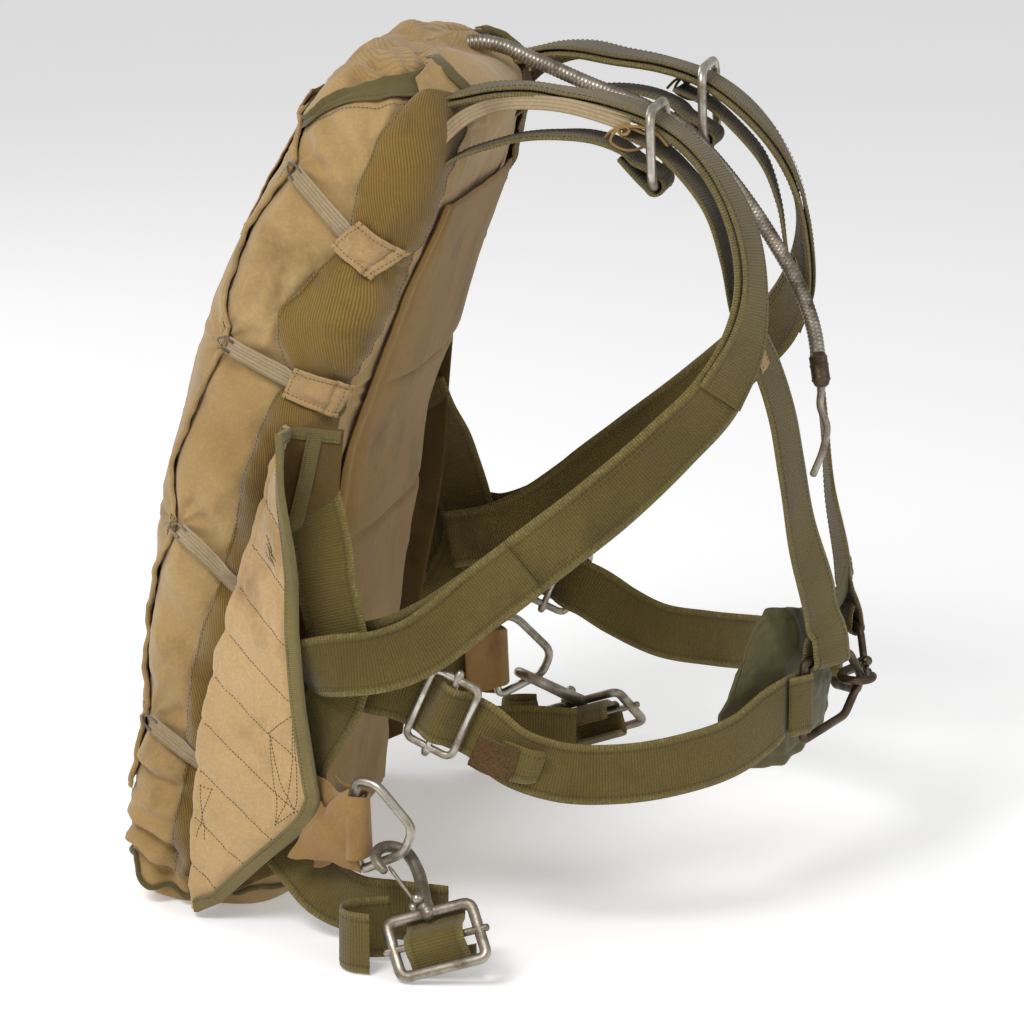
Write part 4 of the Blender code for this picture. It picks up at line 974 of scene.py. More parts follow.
def dress_container():
    """The filled canvas container: its smoothed wall lifted by pack_detail, down to a flat bottom and a closed hood."""
    heights = np.concatenate([np.linspace(0, 30, 15)[:-1], np.linspace(30, 580, 206)[:-1], np.linspace(580, 637, 62)])
    count = 340
    angles = np.arange(count) / count * 2 * math.pi
    tall, turn = np.meshgrid(heights, angles, indexing="ij")
    grid = pack_wall(tall, turn)
    closes = []
    for row, shares in ((0, (0.0, 0.5, 0.85)), (-1, (0.84, 0.66, 0.48, 0.3, 0.14, 0.0))):
        middle = grid[row].mean(axis=0)
        closes.append(np.stack([middle + (grid[row] - middle) * share for share in shares]))
    grid = np.concatenate([closes[0], grid, closes[1]])
    rise = np.concatenate([[-90, -60, -20], heights, 637 + np.arange(1, 7) * 7.0])
    crown = int((rise < 612).sum())
    for _ in range(150):
        grid[crown:-1] = (grid[crown - 1:-2] + 2 * grid[crown:-1] + grid[crown + 1:]) / 4
    grid[-1] = grid[-2].mean(axis=0)
    around = np.roll(grid, -1, axis=1) - np.roll(grid, 1, axis=1)
    facing = unit(np.cross(around, np.gradient(grid, axis=0)))
    facing[-3:] = unit([0.17, 0.0, 0.98])
    facing[:3] = (0.0, 0.0, -1.0)
    level, spin = np.meshgrid(rise, angles, indexing="ij")
    high = pack_detail(np.clip(level, 0, 637), spin, grid)
    high[:3] = 0.0
    high[-1] = high[-2].mean()
    grid = grid + facing * high[..., None]
    grid[3:, :, 2] = np.maximum(grid[3:, :, 2], 0.0)
    grid[:4, :, 2] = 0.0
    index = np.arange(grid.shape[0] * count).reshape(grid.shape[0], count)
    index = np.concatenate([index, index[:, :1]], axis=1)
    girth = np.linspace(0, 1060, count + 1)
    chart = np.stack(np.broadcast_arrays(girth[None, :], rise[:, None]), axis=-1).reshape(-1, 2)
    cells = quads(np.arange(len(rise) * (count + 1)).reshape(len(rise), count + 1))
    mesh = make_mesh("container", grid.reshape(-1, 3), quads(index), chart[cells])
    piece = place(mesh, "container", "canvas", nodes=("pack_body",))


def laid(height, angle, lift, detail=0.9):
    """Grid lying on the container's folds at a lift, for a grid of heights and angles."""
    height, angle = np.broadcast_arrays(np.asarray(height, float), np.asarray(angle, float))
    wall = pack_wall(height, angle)
    high = np.asarray(lift, float) + detail * pack_detail(height, angle, wall)
    return wall + pack_facing(height, angle) * np.broadcast_to(high, height.shape)[..., None]


def over_pack(heights, low_angle, high_angle, columns, lift, detail=0.8):
    """Grid lying over the pack between two angles at each height, following most of its folds."""
    t = (np.linspace(0, 1, columns) if np.isscalar(columns) else np.asarray(columns))[None, :]
    angle = np.asarray(low_angle)[:, None] * (1 - t) + np.asarray(high_angle)[:, None] * t
    return laid(np.asarray(heights, float)[:, None], angle, lift, detail)


def spread(start, end, width, columns, rows):
    """Side-view places x and z of a straight strip's grid."""
    start = np.asarray(start, float)
    run = np.asarray(end, float) - start
    cross = np.array([-run[1], run[0]]) / np.hypot(*run) * width
    t = np.linspace(0, 1, rows)[:, None]
    s = np.linspace(-0.5, 0.5, columns)[None, :]
    return start[0] + t * run[0] + s * cross[0], start[1] + t * run[1] + s * cross[1]


def side_strip(start, end, width, columns, rows, lift, detail=0.8):
    """Grid of a straight strip on the near side of the pack between two places in side view."""
    height, angle = locate(*spread(start, end, width, columns, rows))
    wall = pack_wall(height, angle)
    high = np.broadcast_to(lift, wall.shape[:2]) + detail * pack_detail(height, angle, wall)
    return wall + pack_facing(height, angle) * high[..., None]


def facing_of(grid):
    """Facing direction of a grid at each of its points: rows crossed with columns, away from the pack on each piece."""
    facing = unit(np.cross(np.gradient(grid, axis=0), np.gradient(grid, axis=1)))
    inward = (PACK_MIDDLE - grid.reshape(-1, 3)).mean(axis=0)
    return facing * (-1.0 if np.sum(facing.mean(axis=(0, 1)) * inward) > 0 else 1.0)


def seam(grid, column, lift):
    """Line along a column of a grid, lifted off it, and the directions it faces."""
    facing = facing_of(grid)
    return grid[:, column] + facing[:, column] * lift, facing[:, column]


def soften(line, times):
    """The same line with each inner point moved to the mean of itself and its neighbours, a number of times."""
    line = np.array(line, float)
    for _ in range(times):
        line[1:-1] = (line[:-2] + 2 * line[1:-1] + line[2:]) / 4
    return line


def pick(grid, i, j):
    """Points of a grid at fractional rows and columns, blended from the four around each."""
    i = np.clip(i, 0, grid.shape[0] - 1.001)
    j = np.clip(j, 0, grid.shape[1] - 1.001)
    a, b = i.astype(int), j.astype(int)
    p, q = (i - a)[:, None], (j - b)[:, None]
    before = grid[a, b] * (1 - p) + grid[a + 1, b] * p
    after = grid[a, b + 1] * (1 - p) + grid[a + 1, b + 1] * p
    return before * (1 - q) + after * q


def dress_side_flaps():
    """Side flaps: from the outward face round to a scalloped hem, pulled out at each hook.

    The last 9 mm are a hem raised by 1.5 exp(-((d - 3) / 2.6)^4) over a groove of 1.1 exp(-((d - 7.5) / 1.1)^2).
    """
    hem_height, hem_angle = locate([row[0] for row in HEM], [row[1] for row in HEM])
    rows = 205
    heights = np.linspace(82, hem_height[-1], rows)
    hem = follow(hem_height, hem_angle, heights)
    pull = np.zeros_like(heights)
    for hook_x, hook_z, _, _ in ELASTICS:
        place_height, _ = locate(hook_x, hook_z)
        pull += np.exp(-np.abs(heights - place_height) / 16.0)
    hem = hem + np.radians(1.9) * pull - np.radians(0.9)
    columns = 1 - (1 - np.linspace(0, 1, 100)) ** 1.9
    inset = (1 - columns)[None, :] * 255.0
    for side, tag in BOTH:
        grid = over_pack(heights, np.full(rows, math.radians(4.0)), hem, columns, 3.2)
        raised = 1.5 * np.exp(-((inset - 3.0) / 2.6) ** 4) - 1.1 * np.exp(-((inset - 7.5) / 1.1) ** 2)
        tension = np.exp(-inset / 42.0) * np.sin(heights[:, None] / 6.4 + inset / 30.0) * (1 - pull[:, None])
        puckers = 0.5 * np.exp(-inset / 9.0) * np.sin(heights[:, None] / 2.6)
        grid = grid + facing_of(grid) * (raised + 0.9 * tension + puckers)[..., None]
        thick = CLOTH + 0.9 * np.exp(-((inset - 2.0) / 3.4) ** 4) * np.ones((rows, 1))
        piece = place(slab("side_flap_cloth_" + tag, grid, thick, side), "side_flap_cloth_" + tag, "flap",
                      nodes=("side_flap_" + tag,), sharp=50)
        declare(piece)
        lines, facings = [], []
        for gap in (5.2, 9.6):
            line, out = seam(grid, int(np.abs(inset[0] - gap).argmin()), CLOTH / 2 + 0.35)
            lines.append(line * side)
            facings.append(out * side)
        place(sewing("side_flap_stitches_" + tag, lines, facings, pitch=3.0, length=2.3, thick=0.55),
              "side_flap_stitches_" + tag, "thread", weld=False)


def band_edges(height):
    """Angles of the twill band's outer and inner edges at a height, with a small wander."""
    rows = np.array(BAND_EDGES, float)
    low = follow(rows[:, 0], rows[:, 1], height) - 0.5 * (np.sin(height / 8.5) + 0.7 * np.sin(height / 4.9 + 1.0))
    high = follow(rows[:, 0], rows[:, 2], height) + 0.7 * np.sin(height / 7.3 + 2.0)
    return np.radians(low), np.radians(high)


def band_lift(tall, s):
    """Lift of the twill band over the canvas at a height and a share across it from -1 to 1.

    An arch of 7 (1 - s^4) between the elastics, cross folds that run into each of them, and puckered edges.
    """
    billow = 1.0
    gather = 0.0
    for height in PINCHES:
        gap = tall - height
        billow = billow * (1 - np.exp(-(gap / 19.0) ** 2))
        gather = gather + 2.6 * np.sin(gap / 5.2 + 1.7 * s + 0.8 * np.sin(4 * s)) * np.exp(-(gap / 34.0) ** 2)
    pucker = 1.2 * np.sin(tall / 2.9 + 1.4 * np.sin(tall / 23.0) + 1.2 * s) * np.abs(s) ** 4
    sway = 2.6 * np.sin(tall / 15.0 + 2.4 * s) + 1.8 * np.sin(tall / 31.0 - 2.0 * s)
    return 5.0 + pucker + 7.0 * (1 - s ** 4) * billow + (gather + sway) * (0.25 + 0.75 * billow) * (1 - s ** 8)


def over_band(start, end, width, columns, rows, lift):
    """Grid of a straight strip that lies on the twill band where it crosses it, and at its own lift elsewhere."""
    strip = side_strip(start, end, width, columns, rows, 0.0, 0.0)
    spots = locate(*spread(start, end, width, columns, rows))
    low, high = band_edges(spots[0])
    s = 2 * (spots[1] - low) / (high - low) - 1
    inside = ease((1.12 - np.abs(s)) / 0.16)
    detail = pack_detail(spots[0], spots[1], strip)
    free = lift + 0.4 * detail
    top = band_lift(spots[0], np.clip(s, -1, 1)) + 0.95 * detail + CLOTH / 2 + 1.9
    raised = free + np.maximum(top - free, 0.0) * inside
    for _ in range(5):
        raised = np.maximum(raised, smooth_field(raised))
    return strip + pack_facing(*spots) * smooth_field(raised)[..., None]


def smooth_field(field):
    """The field after two passes of a three-point mean down and across it."""
    for _ in range(2):
        wide = np.pad(field, 1, mode="edge")
        field = (wide[:-2, 1:-1] + wide[2:, 1:-1] + wide[1:-1, :-2] + wide[1:-1, 2:] + 2 * wide[1:-1, 1:-1]) / 6
    return field


def dress_side_bands():
    """Twill bands: billowing between the elastics, drawn in and cross-folded at each, with puckered sewn edges."""
    heights = np.linspace(32, 617, 300)
    low, high = band_edges(heights)
    s = np.linspace(-1, 1, 64)[None, :]
    for side, tag in BOTH:
        grid = over_pack(heights, low, high, 64, band_lift(heights[:, None], s), 0.95)
        piece = place(slab("twill_band_cloth_" + tag, grid, CLOTH, side), "twill_band_cloth_" + tag, "twill",
                      nodes=("side_band_" + tag,), sharp=50)
        declare(piece)
        lines, facings = zip(*[seam(grid, k, CLOTH / 2 + 0.1) for k in (2, 61)])
        place(sewing("twill_band_stitches_" + tag, [v * side for v in lines], [v * side for v in facings]),
              "twill_band_stitches_" + tag, "thread", weld=False)


def dress_elastics():
    """Elastics: two ribbed runs side by side from a wire hook at the hem, with their canvas sleeves and wire hooks."""
    for side, tag in BOTH:
        for k, (hook_x, hook_z, end_x, end_z) in enumerate(ELASTICS):
            rows = 46
            run = np.array([end_x - hook_x, end_z - hook_z]) / np.hypot(end_x - hook_x, end_z - hook_z)
            start = (hook_x + run[0] * 5, hook_z + run[1] * 5)
            lift = np.linspace(6.5, 7.6, rows)[:, None]
            grid = over_band(start, (end_x, end_z), 13.5, 13, rows, lift)
            s = np.linspace(-1, 1, 13)[None, :]
            ribs = 0.35 * np.cos(s * math.pi * 4) - 0.7 * np.exp(-(s / 0.10) ** 2)
            grid = grid + facing_of(grid) * ribs[..., None]
            name = "elastic_web_%s_%d" % (tag, k + 1)
            piece = place(slab(name, grid, 1.9, side), name, "elastic", nodes=("elastic_%s_%d" % (tag, k + 1),),
                          sharp=50)
            declare(piece)
            ends = []
            for across in (-5.4, 5.4):
                wire = [start + run * 3 + np.array([-run[1], run[0]]) * across * 0.9,
                        start - run * 3 + np.array([-run[1], run[0]]) * across * 0.9,
                        start - run * 7 + np.array([-run[1], run[0]]) * across * 0.35]
                ends.append(wire)
            route = np.array(ends[0] + ends[1][::-1])
            route = even(rounded(route, 3.0, closed=False), 1.0)
            height, angle = locate(route[:, 0], route[:, 1])
            line = pack_skin(height, angle, 8.6)
            name = "elastic_hook_%s_%d" % (tag, k + 1)
            place(sweep(name, line * side, 0.85, sides=10), name, "hook")
        for k, (start_x, start_z, end_x, end_z, width) in enumerate(SLEEVES):
            s = np.linspace(-1, 1, 31)[None, :]
            t = np.linspace(-1, 1, 31)[:, None]
            grid = over_band((start_x, start_z), (end_x, end_z), width, 31, 31, 9.6)
            grid = grid + facing_of(grid) * 2.4
            belly = 1.6 * np.exp(-(s / 0.5) ** 4) - 0.8 * np.exp(-((np.abs(s) - 0.74) / 0.12) ** 2)
            fold = 0.6 * np.sin(5 * t + 2 * s) + 1.0 * rumple(grid, 14.0, 17) - 2.2 * np.exp(-((t - 0.62) / 0.07) ** 2)
            grid = grid + facing_of(grid) * (belly + fold)[..., None]
            name = "sleeve_cloth_%s_%d" % (tag, k + 1)
            piece = place(slab(name, grid, CLOTH, side), name, "sleeve", nodes=("sleeve_%s_%d" % (tag, k + 1),),
                          sharp=50)
            declare(piece)
            lines, facings = zip(*[seam(grid.transpose(1, 0, 2), c, CLOTH / 2) for c in (2, 28)])
            lines2, facings2 = zip(*[seam(grid, c, CLOTH / 2) for c in (3, 27)])
            name = "sleeve_stitches_%s_%d" % (tag, k + 1)
            place(sewing(name, [v * side for v in lines + lines2], [v * side for v in facings + facings2]), name,
                  "thread", weld=False)


def dress_outer_flaps():
    """Outward face: the top and bottom flaps, the long pin cover, its tape edges and press buttons."""
    for name, low, high, half, lift in (("pin_cover", 84.0, 470.0, 20.0, 6.4), ("top_flap", 478.0, 588.0, 36.0, 6.4),
                                        ("bottom_flap", 16.0, 77.0, 36.0, 2.4)):
        rows = max(40, int((high - low) / 2.6))
        heights = np.linspace(low, high, rows)
        narrow = np.radians(half - 3.0 * np.abs(np.linspace(-1, 1, rows)) ** 3)
        grid = over_pack(heights, -narrow, narrow, 90, lift)
        s = np.linspace(-1, 1, 90)[None, :]
        t = np.linspace(-1, 1, rows)[:, None]
        sag = 0.9 * (1 - s ** 6) * (1 - t ** 6) + 0.6 * np.sin(t * rows / 9.0 + 2 * s) * np.abs(s) ** 3
        grid = grid + facing_of(grid) * sag[..., None]
        piece = place(slab(name + "_cloth", grid, CLOTH), name + "_cloth", "flap", nodes=(name,), sharp=50)
        declare(piece)
        lines, facings = zip(*[seam(grid, k, CLOTH / 2) for k in (3, 7, 82, 86)])
        across, outs = zip(*[seam(grid.transpose(1, 0, 2), k, CLOTH / 2) for k in (3, rows - 4)])
        place(sewing(name + "_stitches", list(lines) + list(across), list(facings) + list(outs)),
              name + "_stitches", "pale thread", weld=False)
        buttons = []
        levels = [int((level - low) / (high - low) * rows) for level in BUTTON_HEIGHTS if low < level < high]
        for i, j in [(level, column) for level in levels for column in (9, 80)]:
            out = facing_of(grid)[i, j]
            buttons.append(button(grid[i, j] + out * CLOTH / 2, out, 6.2))
        if name != "bottom_flap":
            place(join(name + "_buttons", buttons), name + "_buttons", "snap")


def button(middle, out, radius):
    """Press button: a turned profile with a rolled rim and a shallow dished middle."""
    profile = np.array([(0.0, 1.0), (0.25, 0.98), (0.48, 1.15), (0.62, 1.45), (0.8, 1.6), (0.94, 1.35), (1.0, 0.7),
                        (0.98, -0.2), (0.6, -0.3), (0.0, -0.3)])
    one = unit(np.cross(out, [0.3, 0.9, 0.1]))
    two = np.cross(out, one)
    a = np.arange(28) / 28 * 2 * math.pi
    ring = one[None, None] * np.cos(a)[None, :, None] + two[None, None] * np.sin(a)[None, :, None]
    points = middle + ring * (profile[:, 0] * radius)[:, None, None] + out * profile[:, 1][:, None, None]
    index = np.arange(points.shape[0] * 28).reshape(points.shape[0], 28)
    index = np.concatenate([index, index[:, :1]], axis=1)
    return make_mesh("button", points.reshape(-1, 3), quads(index))


def dress_pad():
    """Back pad: a stuffed sheet, thickest along its middle, drawn in along its sewn lines."""
    heights = np.linspace(24, 556, 170)
    t = np.linspace(-1, 1, 92)[None, :]
    row = np.linspace(-1, 1, 170)[:, None]
    half = np.radians(38.0 - 3.0 * np.abs(np.linspace(-1, 1, 170)) ** 4)
    angle = math.pi + half[:, None] * t
    tall = np.broadcast_to(heights[:, None], angle.shape)
    thick = 4.0 + 10.0 * (1 - np.abs(t) ** 3) * (1 - np.abs(row) ** 6)
    for line in (-0.93, 0.93):
        thick = thick - 2.2 * np.exp(-((t - line) / 0.018) ** 2)
    for line in (-0.5, 0.0, 0.5):
        thick = thick - 3.4 * np.exp(-((row - line) / 0.012) ** 2) * (1 - t ** 8)
    grid = pack_skin(tall, angle, 2.8 + thick / 2)
    ripple = 0.9 * rumple(grid, 40.0, 12) + 0.4 * rumple(grid, 16.0, 13)
    grid = grid + pack_facing(tall, angle) * ripple[..., None]
    # The pad's cloth carries painted shade: darker tones for the shadow across it
    piece = place(slab("pad_cushion", grid, np.maximum(thick, 1.6)), "pad_cushion", "pad", nodes=("back_pad",),
                  sharp=60)


def wing_grid(pace, per_leaf):
    """Grid of the folded wing flap: from the pad back to the fold, then forward again to the bound edge."""
    table = smooth_rows(np.array(WING, float).reshape(len(WING), 9), pace)
    sewn, fold, free = table[:, 0:3], table[:, 3:6], table[:, 6:9]
    inner = fold + (5, 4.5, 0)
    outer = fold + (5, -4.5, 0)
    bulge = np.zeros_like(outer)
    bulge[:, 1] = -0.035 * np.linalg.norm(free - outer, axis=1)
    leaf = [sewn * (1 - t) + inner * t for t in np.linspace(0, 1, per_leaf // 2, endpoint=False)]
    turn = [fold + (5 - 5 * math.cos(a), 4.5 * math.sin(a), 0) for a in np.linspace(math.pi / 2, -math.pi / 2, 9)]
    cover = [outer * (1 - t) + free * t + bulge * math.sin(math.pi * t) for t in np.linspace(0, 1, per_leaf)[1:]]
    return np.stack(leaf + turn + cover, axis=1), len(leaf) + 4


def dress_wings():
    """Quilted wing flaps: a few slanted sewn lines over a soft lumpy leaf, sewn crosses, a darn and a bound edge.

    Each sewn line is a dent of 1.3 exp(-(distance / 2.4)^2), and the cloth swells a little between the lines.
    """
    grid, fold = wing_grid(2.2, 96)
    clean = grid.copy()
    facing = facing_of(grid)
    leaf = np.zeros(grid.shape[:2])
    leaf[:, fold:] = 1.0
    slanted = (grid[..., 2] + 0.72 * grid[..., 0]) / 41.0
    nearest = np.abs(slanted - np.round(slanted)) * 33.0
    quilt = 1.5 * ease(nearest / 13.0) - 1.3 * np.exp(-(nearest / 2.4) ** 2)
    lumps = 2.4 * rumple(grid, 46.0, 21) + 1.3 * rumple(grid, 20.0, 22) + 0.5 * rumple(grid, 8.0, 23)
    border = np.concatenate([clean[2, 3:], clean[:, -1], clean[-1, :fold:-1], clean[4:150, 2]])[::2]
    away = np.linalg.norm(grid[:, :, None] - border[None, None], axis=-1).min(axis=-1)
    high = (quilt * leaf + lumps) * ease((away - 9.5) / 9.0)
    grid = grid + facing * high[..., None]
    facing = facing_of(grid)
    for side, tag in BOTH:
        name = "wing_cloth_" + tag
        piece = place(slab(name, grid[:, fold - 2:], 2.2, side), name, "quilt", nodes=("wing_" + tag,), sharp=60)
        declare(piece)
        # The inner leaf wears the quilt's cloth darkened as painted shade
        name = "wing_inner_leaf_shade_" + tag
        piece = place(slab(name, grid[:, :fold - 1], 2.2, side), name, "quilt_in_shade", sharp=60)
        declare(piece)
        lines, outs = [], []
        for level in np.arange(math.floor(slanted.min()), math.ceil(slanted.max()) + 1):
            near = np.abs(slanted[:, fold + 3:-3] - level)
            hit = near.argmin(axis=0)
            columns = np.arange(fold + 3, grid.shape[1] - 3)[near.min(axis=0) < 0.04]
            hit = hit[near.min(axis=0) < 0.04]
            if len(columns) > 6:
                lines.append(soften(grid[hit, columns] + facing[hit, columns] * 1.2, 6))
                outs.append(facing[hit, columns])
        for line, out in sewn_marks(grid, facing, fold):
            lines.append(line)
            outs.append(out)
        name = "wing_stitches_" + tag
        place(sewing(name, [v * side for v in lines], [v * side for v in outs], pitch=3.0, length=2.5, thick=0.7), name,
              "thread", weld=False)
        bound = np.concatenate([clean[:, -1], clean[-1, -3:fold + 2:-2]])
        within = np.concatenate([clean[:, -26], clean[-14, -3:fold + 2:-2]])
        level = np.arange(2, 74, dtype=float)
        slant = pick(clean, level, 20 + 0.13 * level) - (0.0, 1.0, 0.0)
        beside = pick(clean, level, 32 + 0.13 * level) - (0.0, 1.0, 0.0)
        routes = [("wing_tape_", bound, within, 9.0), ("wing_top_tape_", clean[1, 1:-3], clean[8, 1:-3], 7.0),
                  ("wing_inner_tape_", slant, beside, 9.0)]
        for label, line, inner, depth in routes:
            heading = unit(np.gradient(line, axis=0))
            inward = inner - line
            inward = unit(soften(unit(inward - heading * np.sum(heading * inward, axis=1, keepdims=True)), 20))
            out = unit(np.cross(heading, inward))
            name = label + tag
            outer = label == "wing_tape_"
            colour, node = ("pale tape", ("wing_binding_" + tag,)) if outer else ("binding", ())
            place(tape(name, line * side, inward * side, out * side, depth, 1.9, 0.8), name, colour, nodes=node,
                  sharp=50)
            sides = [line + inward * (depth - 2.2) + out * 2.8, line + inward * (depth - 2.2) - out * 2.8]
            name = label + "stitches_" + tag
            place(sewing(name, [v * side for v in sides], [out * side, -out * side], pitch=3.0, length=2.3, thick=0.55),
                  name, "thread", weld=False)


def sewn_marks(grid, facing, fold):
    """Sewn marks on the cover leaf, given in shares down and across it: a crossed square, half a cross and a darn."""
    rows, width = len(grid) - 1, grid.shape[1] - fold - 1
    square = [(0.60, 0.66), (0.57, 0.90), (0.80, 0.84), (0.83, 0.72)]
    routes = [(square[a], square[b]) for a, b in ((0, 1), (1, 2), (2, 3), (3, 0), (0, 2), (1, 3))]
    routes += [((0.70, 0.04), (0.84, 0.12)), ((0.71, 0.14), (0.83, 0.05)), ((0.70, 0.04), (0.71, 0.14))]
    routes += [((0.23 + 0.006 * k, 0.40 + 0.05 * (k % 3)), (0.26 + 0.004 * k, 0.56 + 0.03 * (k % 4))) for k in range(7)]
    made = []
    for (row_a, column_a), (row_b, column_b) in routes:
        t = np.linspace(0, 1, 50)
        i = (row_a * (1 - t) + row_b * t) * rows
        j = fold + (column_a * (1 - t) + column_b * t) * width
        out = pick(facing, i, j)
        made.append((pick(grid, i, j) + out * 1.2, out))
    return made


def tape(name, edge, inward, facing, depth, half_gap, wall):
    """Folded tape round an edge: a U profile with a rounded back, carried along the edge."""
    a = np.linspace(math.pi / 2, -math.pi / 2, 9)
    outer = [(-0.8 - (wall + 0.6) * math.cos(t), (half_gap + wall) * math.sin(t)) for t in a]
    inner = [(-0.8 - 0.4 * math.cos(t), -half_gap * math.sin(t)) for t in a]
    profile = np.array([(depth, half_gap + wall), *outer, (depth, -half_gap - wall), (depth, -half_gap), *inner,
                        (depth, half_gap)])
    line = np.arange(len(edge))
    wave = 0.5 * np.sin(line / 3.7) + 0.4 * np.sin(line / 1.9 + 1)
    points = edge[:, None] + inward[:, None] * profile[None, :, :1] + facing[:, None] * profile[None, :, 1:]
    points = points + facing[:, None] * (0.25 * wave)[:, None, None]
    count = len(profile)
    index = np.arange(len(edge) * count).reshape(len(edge), count)
    index = np.concatenate([index, index[:, :1]], axis=1)
    gone = np.concatenate([[0], np.cumsum(np.linalg.norm(np.diff(edge, axis=0), axis=1))])
    round_ = np.linspace(0, 2 * depth + 4, count + 1)
    chart = np.stack(np.broadcast_arrays(round_[None, :], gone[:, None]), axis=-1).reshape(-1, 2)
    cells = quads(np.arange(len(edge) * (count + 1)).reshape(len(edge), count + 1))
    half = count // 2
    caps = []
    for base, flip in ((0, 1), (count * (len(edge) - 1), -1)):
        for k in range(half - 1):
            caps.append([base + k, base + k + 1, base + count - 2 - k, base + count - 1 - k][::flip])
    caps = np.array(caps)
    faces = np.concatenate([quads(index), caps])
    uv = np.concatenate([chart[cells], np.zeros((len(caps), 4, 2))])
    return make_mesh(name, points.reshape(-1, 3), faces, uv)


def web_grid(rows, width, pace, sway=0.25):
    """Grid across a strap: straight across, with the ends of each row swaying a little along the facing direction."""
    rows = smooth_rows(rows, pace)
    heading = unit(np.gradient(rows[:, :3], axis=0))
    across = rows[:, 3:6] - heading * np.sum(heading * rows[:, 3:6], axis=1, keepdims=True)
    across = unit(across)
    s = np.linspace(-1, 1, 15)
    grid = rows[:, None, :3] + across[:, None] * (s * width / 2)[None, :, None]
    facing = np.cross(heading, across)
    gone = np.concatenate([[0], np.cumsum(np.linalg.norm(np.diff(rows[:, :3], axis=0), axis=1))])[:, None]
    wave = sway * (np.sin(gone / 19.0) * s[None, :] + 0.7 * np.sin(gone / 31.0 + 2) * s[None, :] ** 2)
    return grid + facing[:, None] * wave[..., None], facing


def dress_strap(name, node, rows, tag, side, width=WEB_WIDTH, thick=WEB_THICK, colour="webbing", edges=(0.8,),
                pace=3.0, sway=0.25):
    """One length of webbing: a ribbed slab with soft edges and rows of stitches along them."""
    grid, facing = web_grid(rows, width, pace, sway)
    s = np.linspace(-1, 1, 15)[None, :]
    body = thick - 0.35 - 0.7 * np.abs(s) ** 10
    label = "%s_%s" % (name, tag)
    piece = place(slab(label, grid, body, side), label, colour, nodes=tuple(node), sharp=60)
    declare(piece)
    lines, outs = [], []
    for share in edges:
        for sign in (-1, 1):
            middle = grid[:, 7] + (grid[:, 14] - grid[:, 7]) * share * sign
            for face in (-1, 1):
                lines.append((middle + facing * face * (thick - 0.35) / 2) * side)
                outs.append(facing * face * side)
    if edges:
        place(sewing(label + "_stitches", lines, outs, pitch=4.0, length=2.8), label + "_stitches", "thread",
              weld=False)
    return grid, facing


def harness_rows():
    """Strap rows of every strap that passes through a ring or an adapter."""
    crosswise = np.array([0.0, 1.0, 0.0])
    down = unit([0.78, 0.0, -0.62])
    back = np.vstack([course(BACK_STRAP), eye(np.array(SHOULDER_RING_LOW), down, crosswise, 6.4, 4.6, 23, 32)])
    ring = np.array(CHEST_RING, float)
    upper = (ring[0] + ring[1]) / 2
    rear = (ring[0] + ring[-1]) / 2
    front = np.vstack([course(FRONT_STRAP), eye(upper, (0.12, 0.05, -1.0), ring[1] - ring[0], 5.9, 4.4, 21, 18)])
    start = eye(rear, unit([0.50, 0.86, 0.0]), ring[0] - ring[-1], 5.9, 4.4, 21, 18, turn=-1.0)[::-1]
    start[:, 3:6] *= -1
    adapter = np.array(ADAPTER)
    travel = unit([-0.92, 0.06, 0.40])
    cross = unit(np.cross([0.0, -1.0, 0.0], travel))
    run = [start, course(SIDE_STRAP), weave(adapter, travel, cross, 5.2, 19.0), course(SIDE_STRAP_END)]
    leg_ring = np.array(LEG_RING, float)
    bar = (leg_ring[0] + leg_ring[-1]) / 2
    drop = np.vstack([course(DROP_STRAP), eye(bar, DROP_HEADING, leg_ring[0] - leg_ring[-1], 5.9, 4.4, 21, 17)])
    frame_corners = np.array(LEG_FRAME, float)
    end = local_rows(frame_corners.mean(axis=0), unit(frame_corners[3] - frame_corners[0]),
                     frame_corners[1] - frame_corners[0], LEG_END)
    return {"back": back, "front": front, "side": np.vstack(run), "drop": drop, "end": end}, adapter, travel, cross


def dress_webbing():
    """All the webbing of both sides."""
    rows = harness_rows()[0]
    for side, tag in BOTH:
        dress_strap("main_sling_web", ["main_sling_" + tag], course(MAIN_SLING), tag, side, thick=SLING_THICK,
                    edges=(0.82, 0.62), sway=0.5)
        dress_strap("back_strap_web", ["back_strap_" + tag], rows["back"], tag, side)
        dress_strap("front_strap_web", ["front_strap_" + tag], rows["front"], tag, side, sway=0.4)
        dress_strap("side_strap_web", ["side_strap_" + tag], rows["side"], tag, side)
        dress_strap("drop_strap_web", ["drop_strap_" + tag], rows["drop"], tag, side)
        dress_strap("leg_strap_web", ["leg_strap_" + tag], course(LEG_STRAP), tag, side)
        dress_strap("leg_strap_end_web", ["leg_strap_end_" + tag], rows["end"], tag, side, pace=1.6, edges=(), sway=0.0)
        dress_strap("leg_tail_web", ["leg_tail_" + tag], course(LEG_TAIL), tag, side, pace=1.6, sway=0.0)


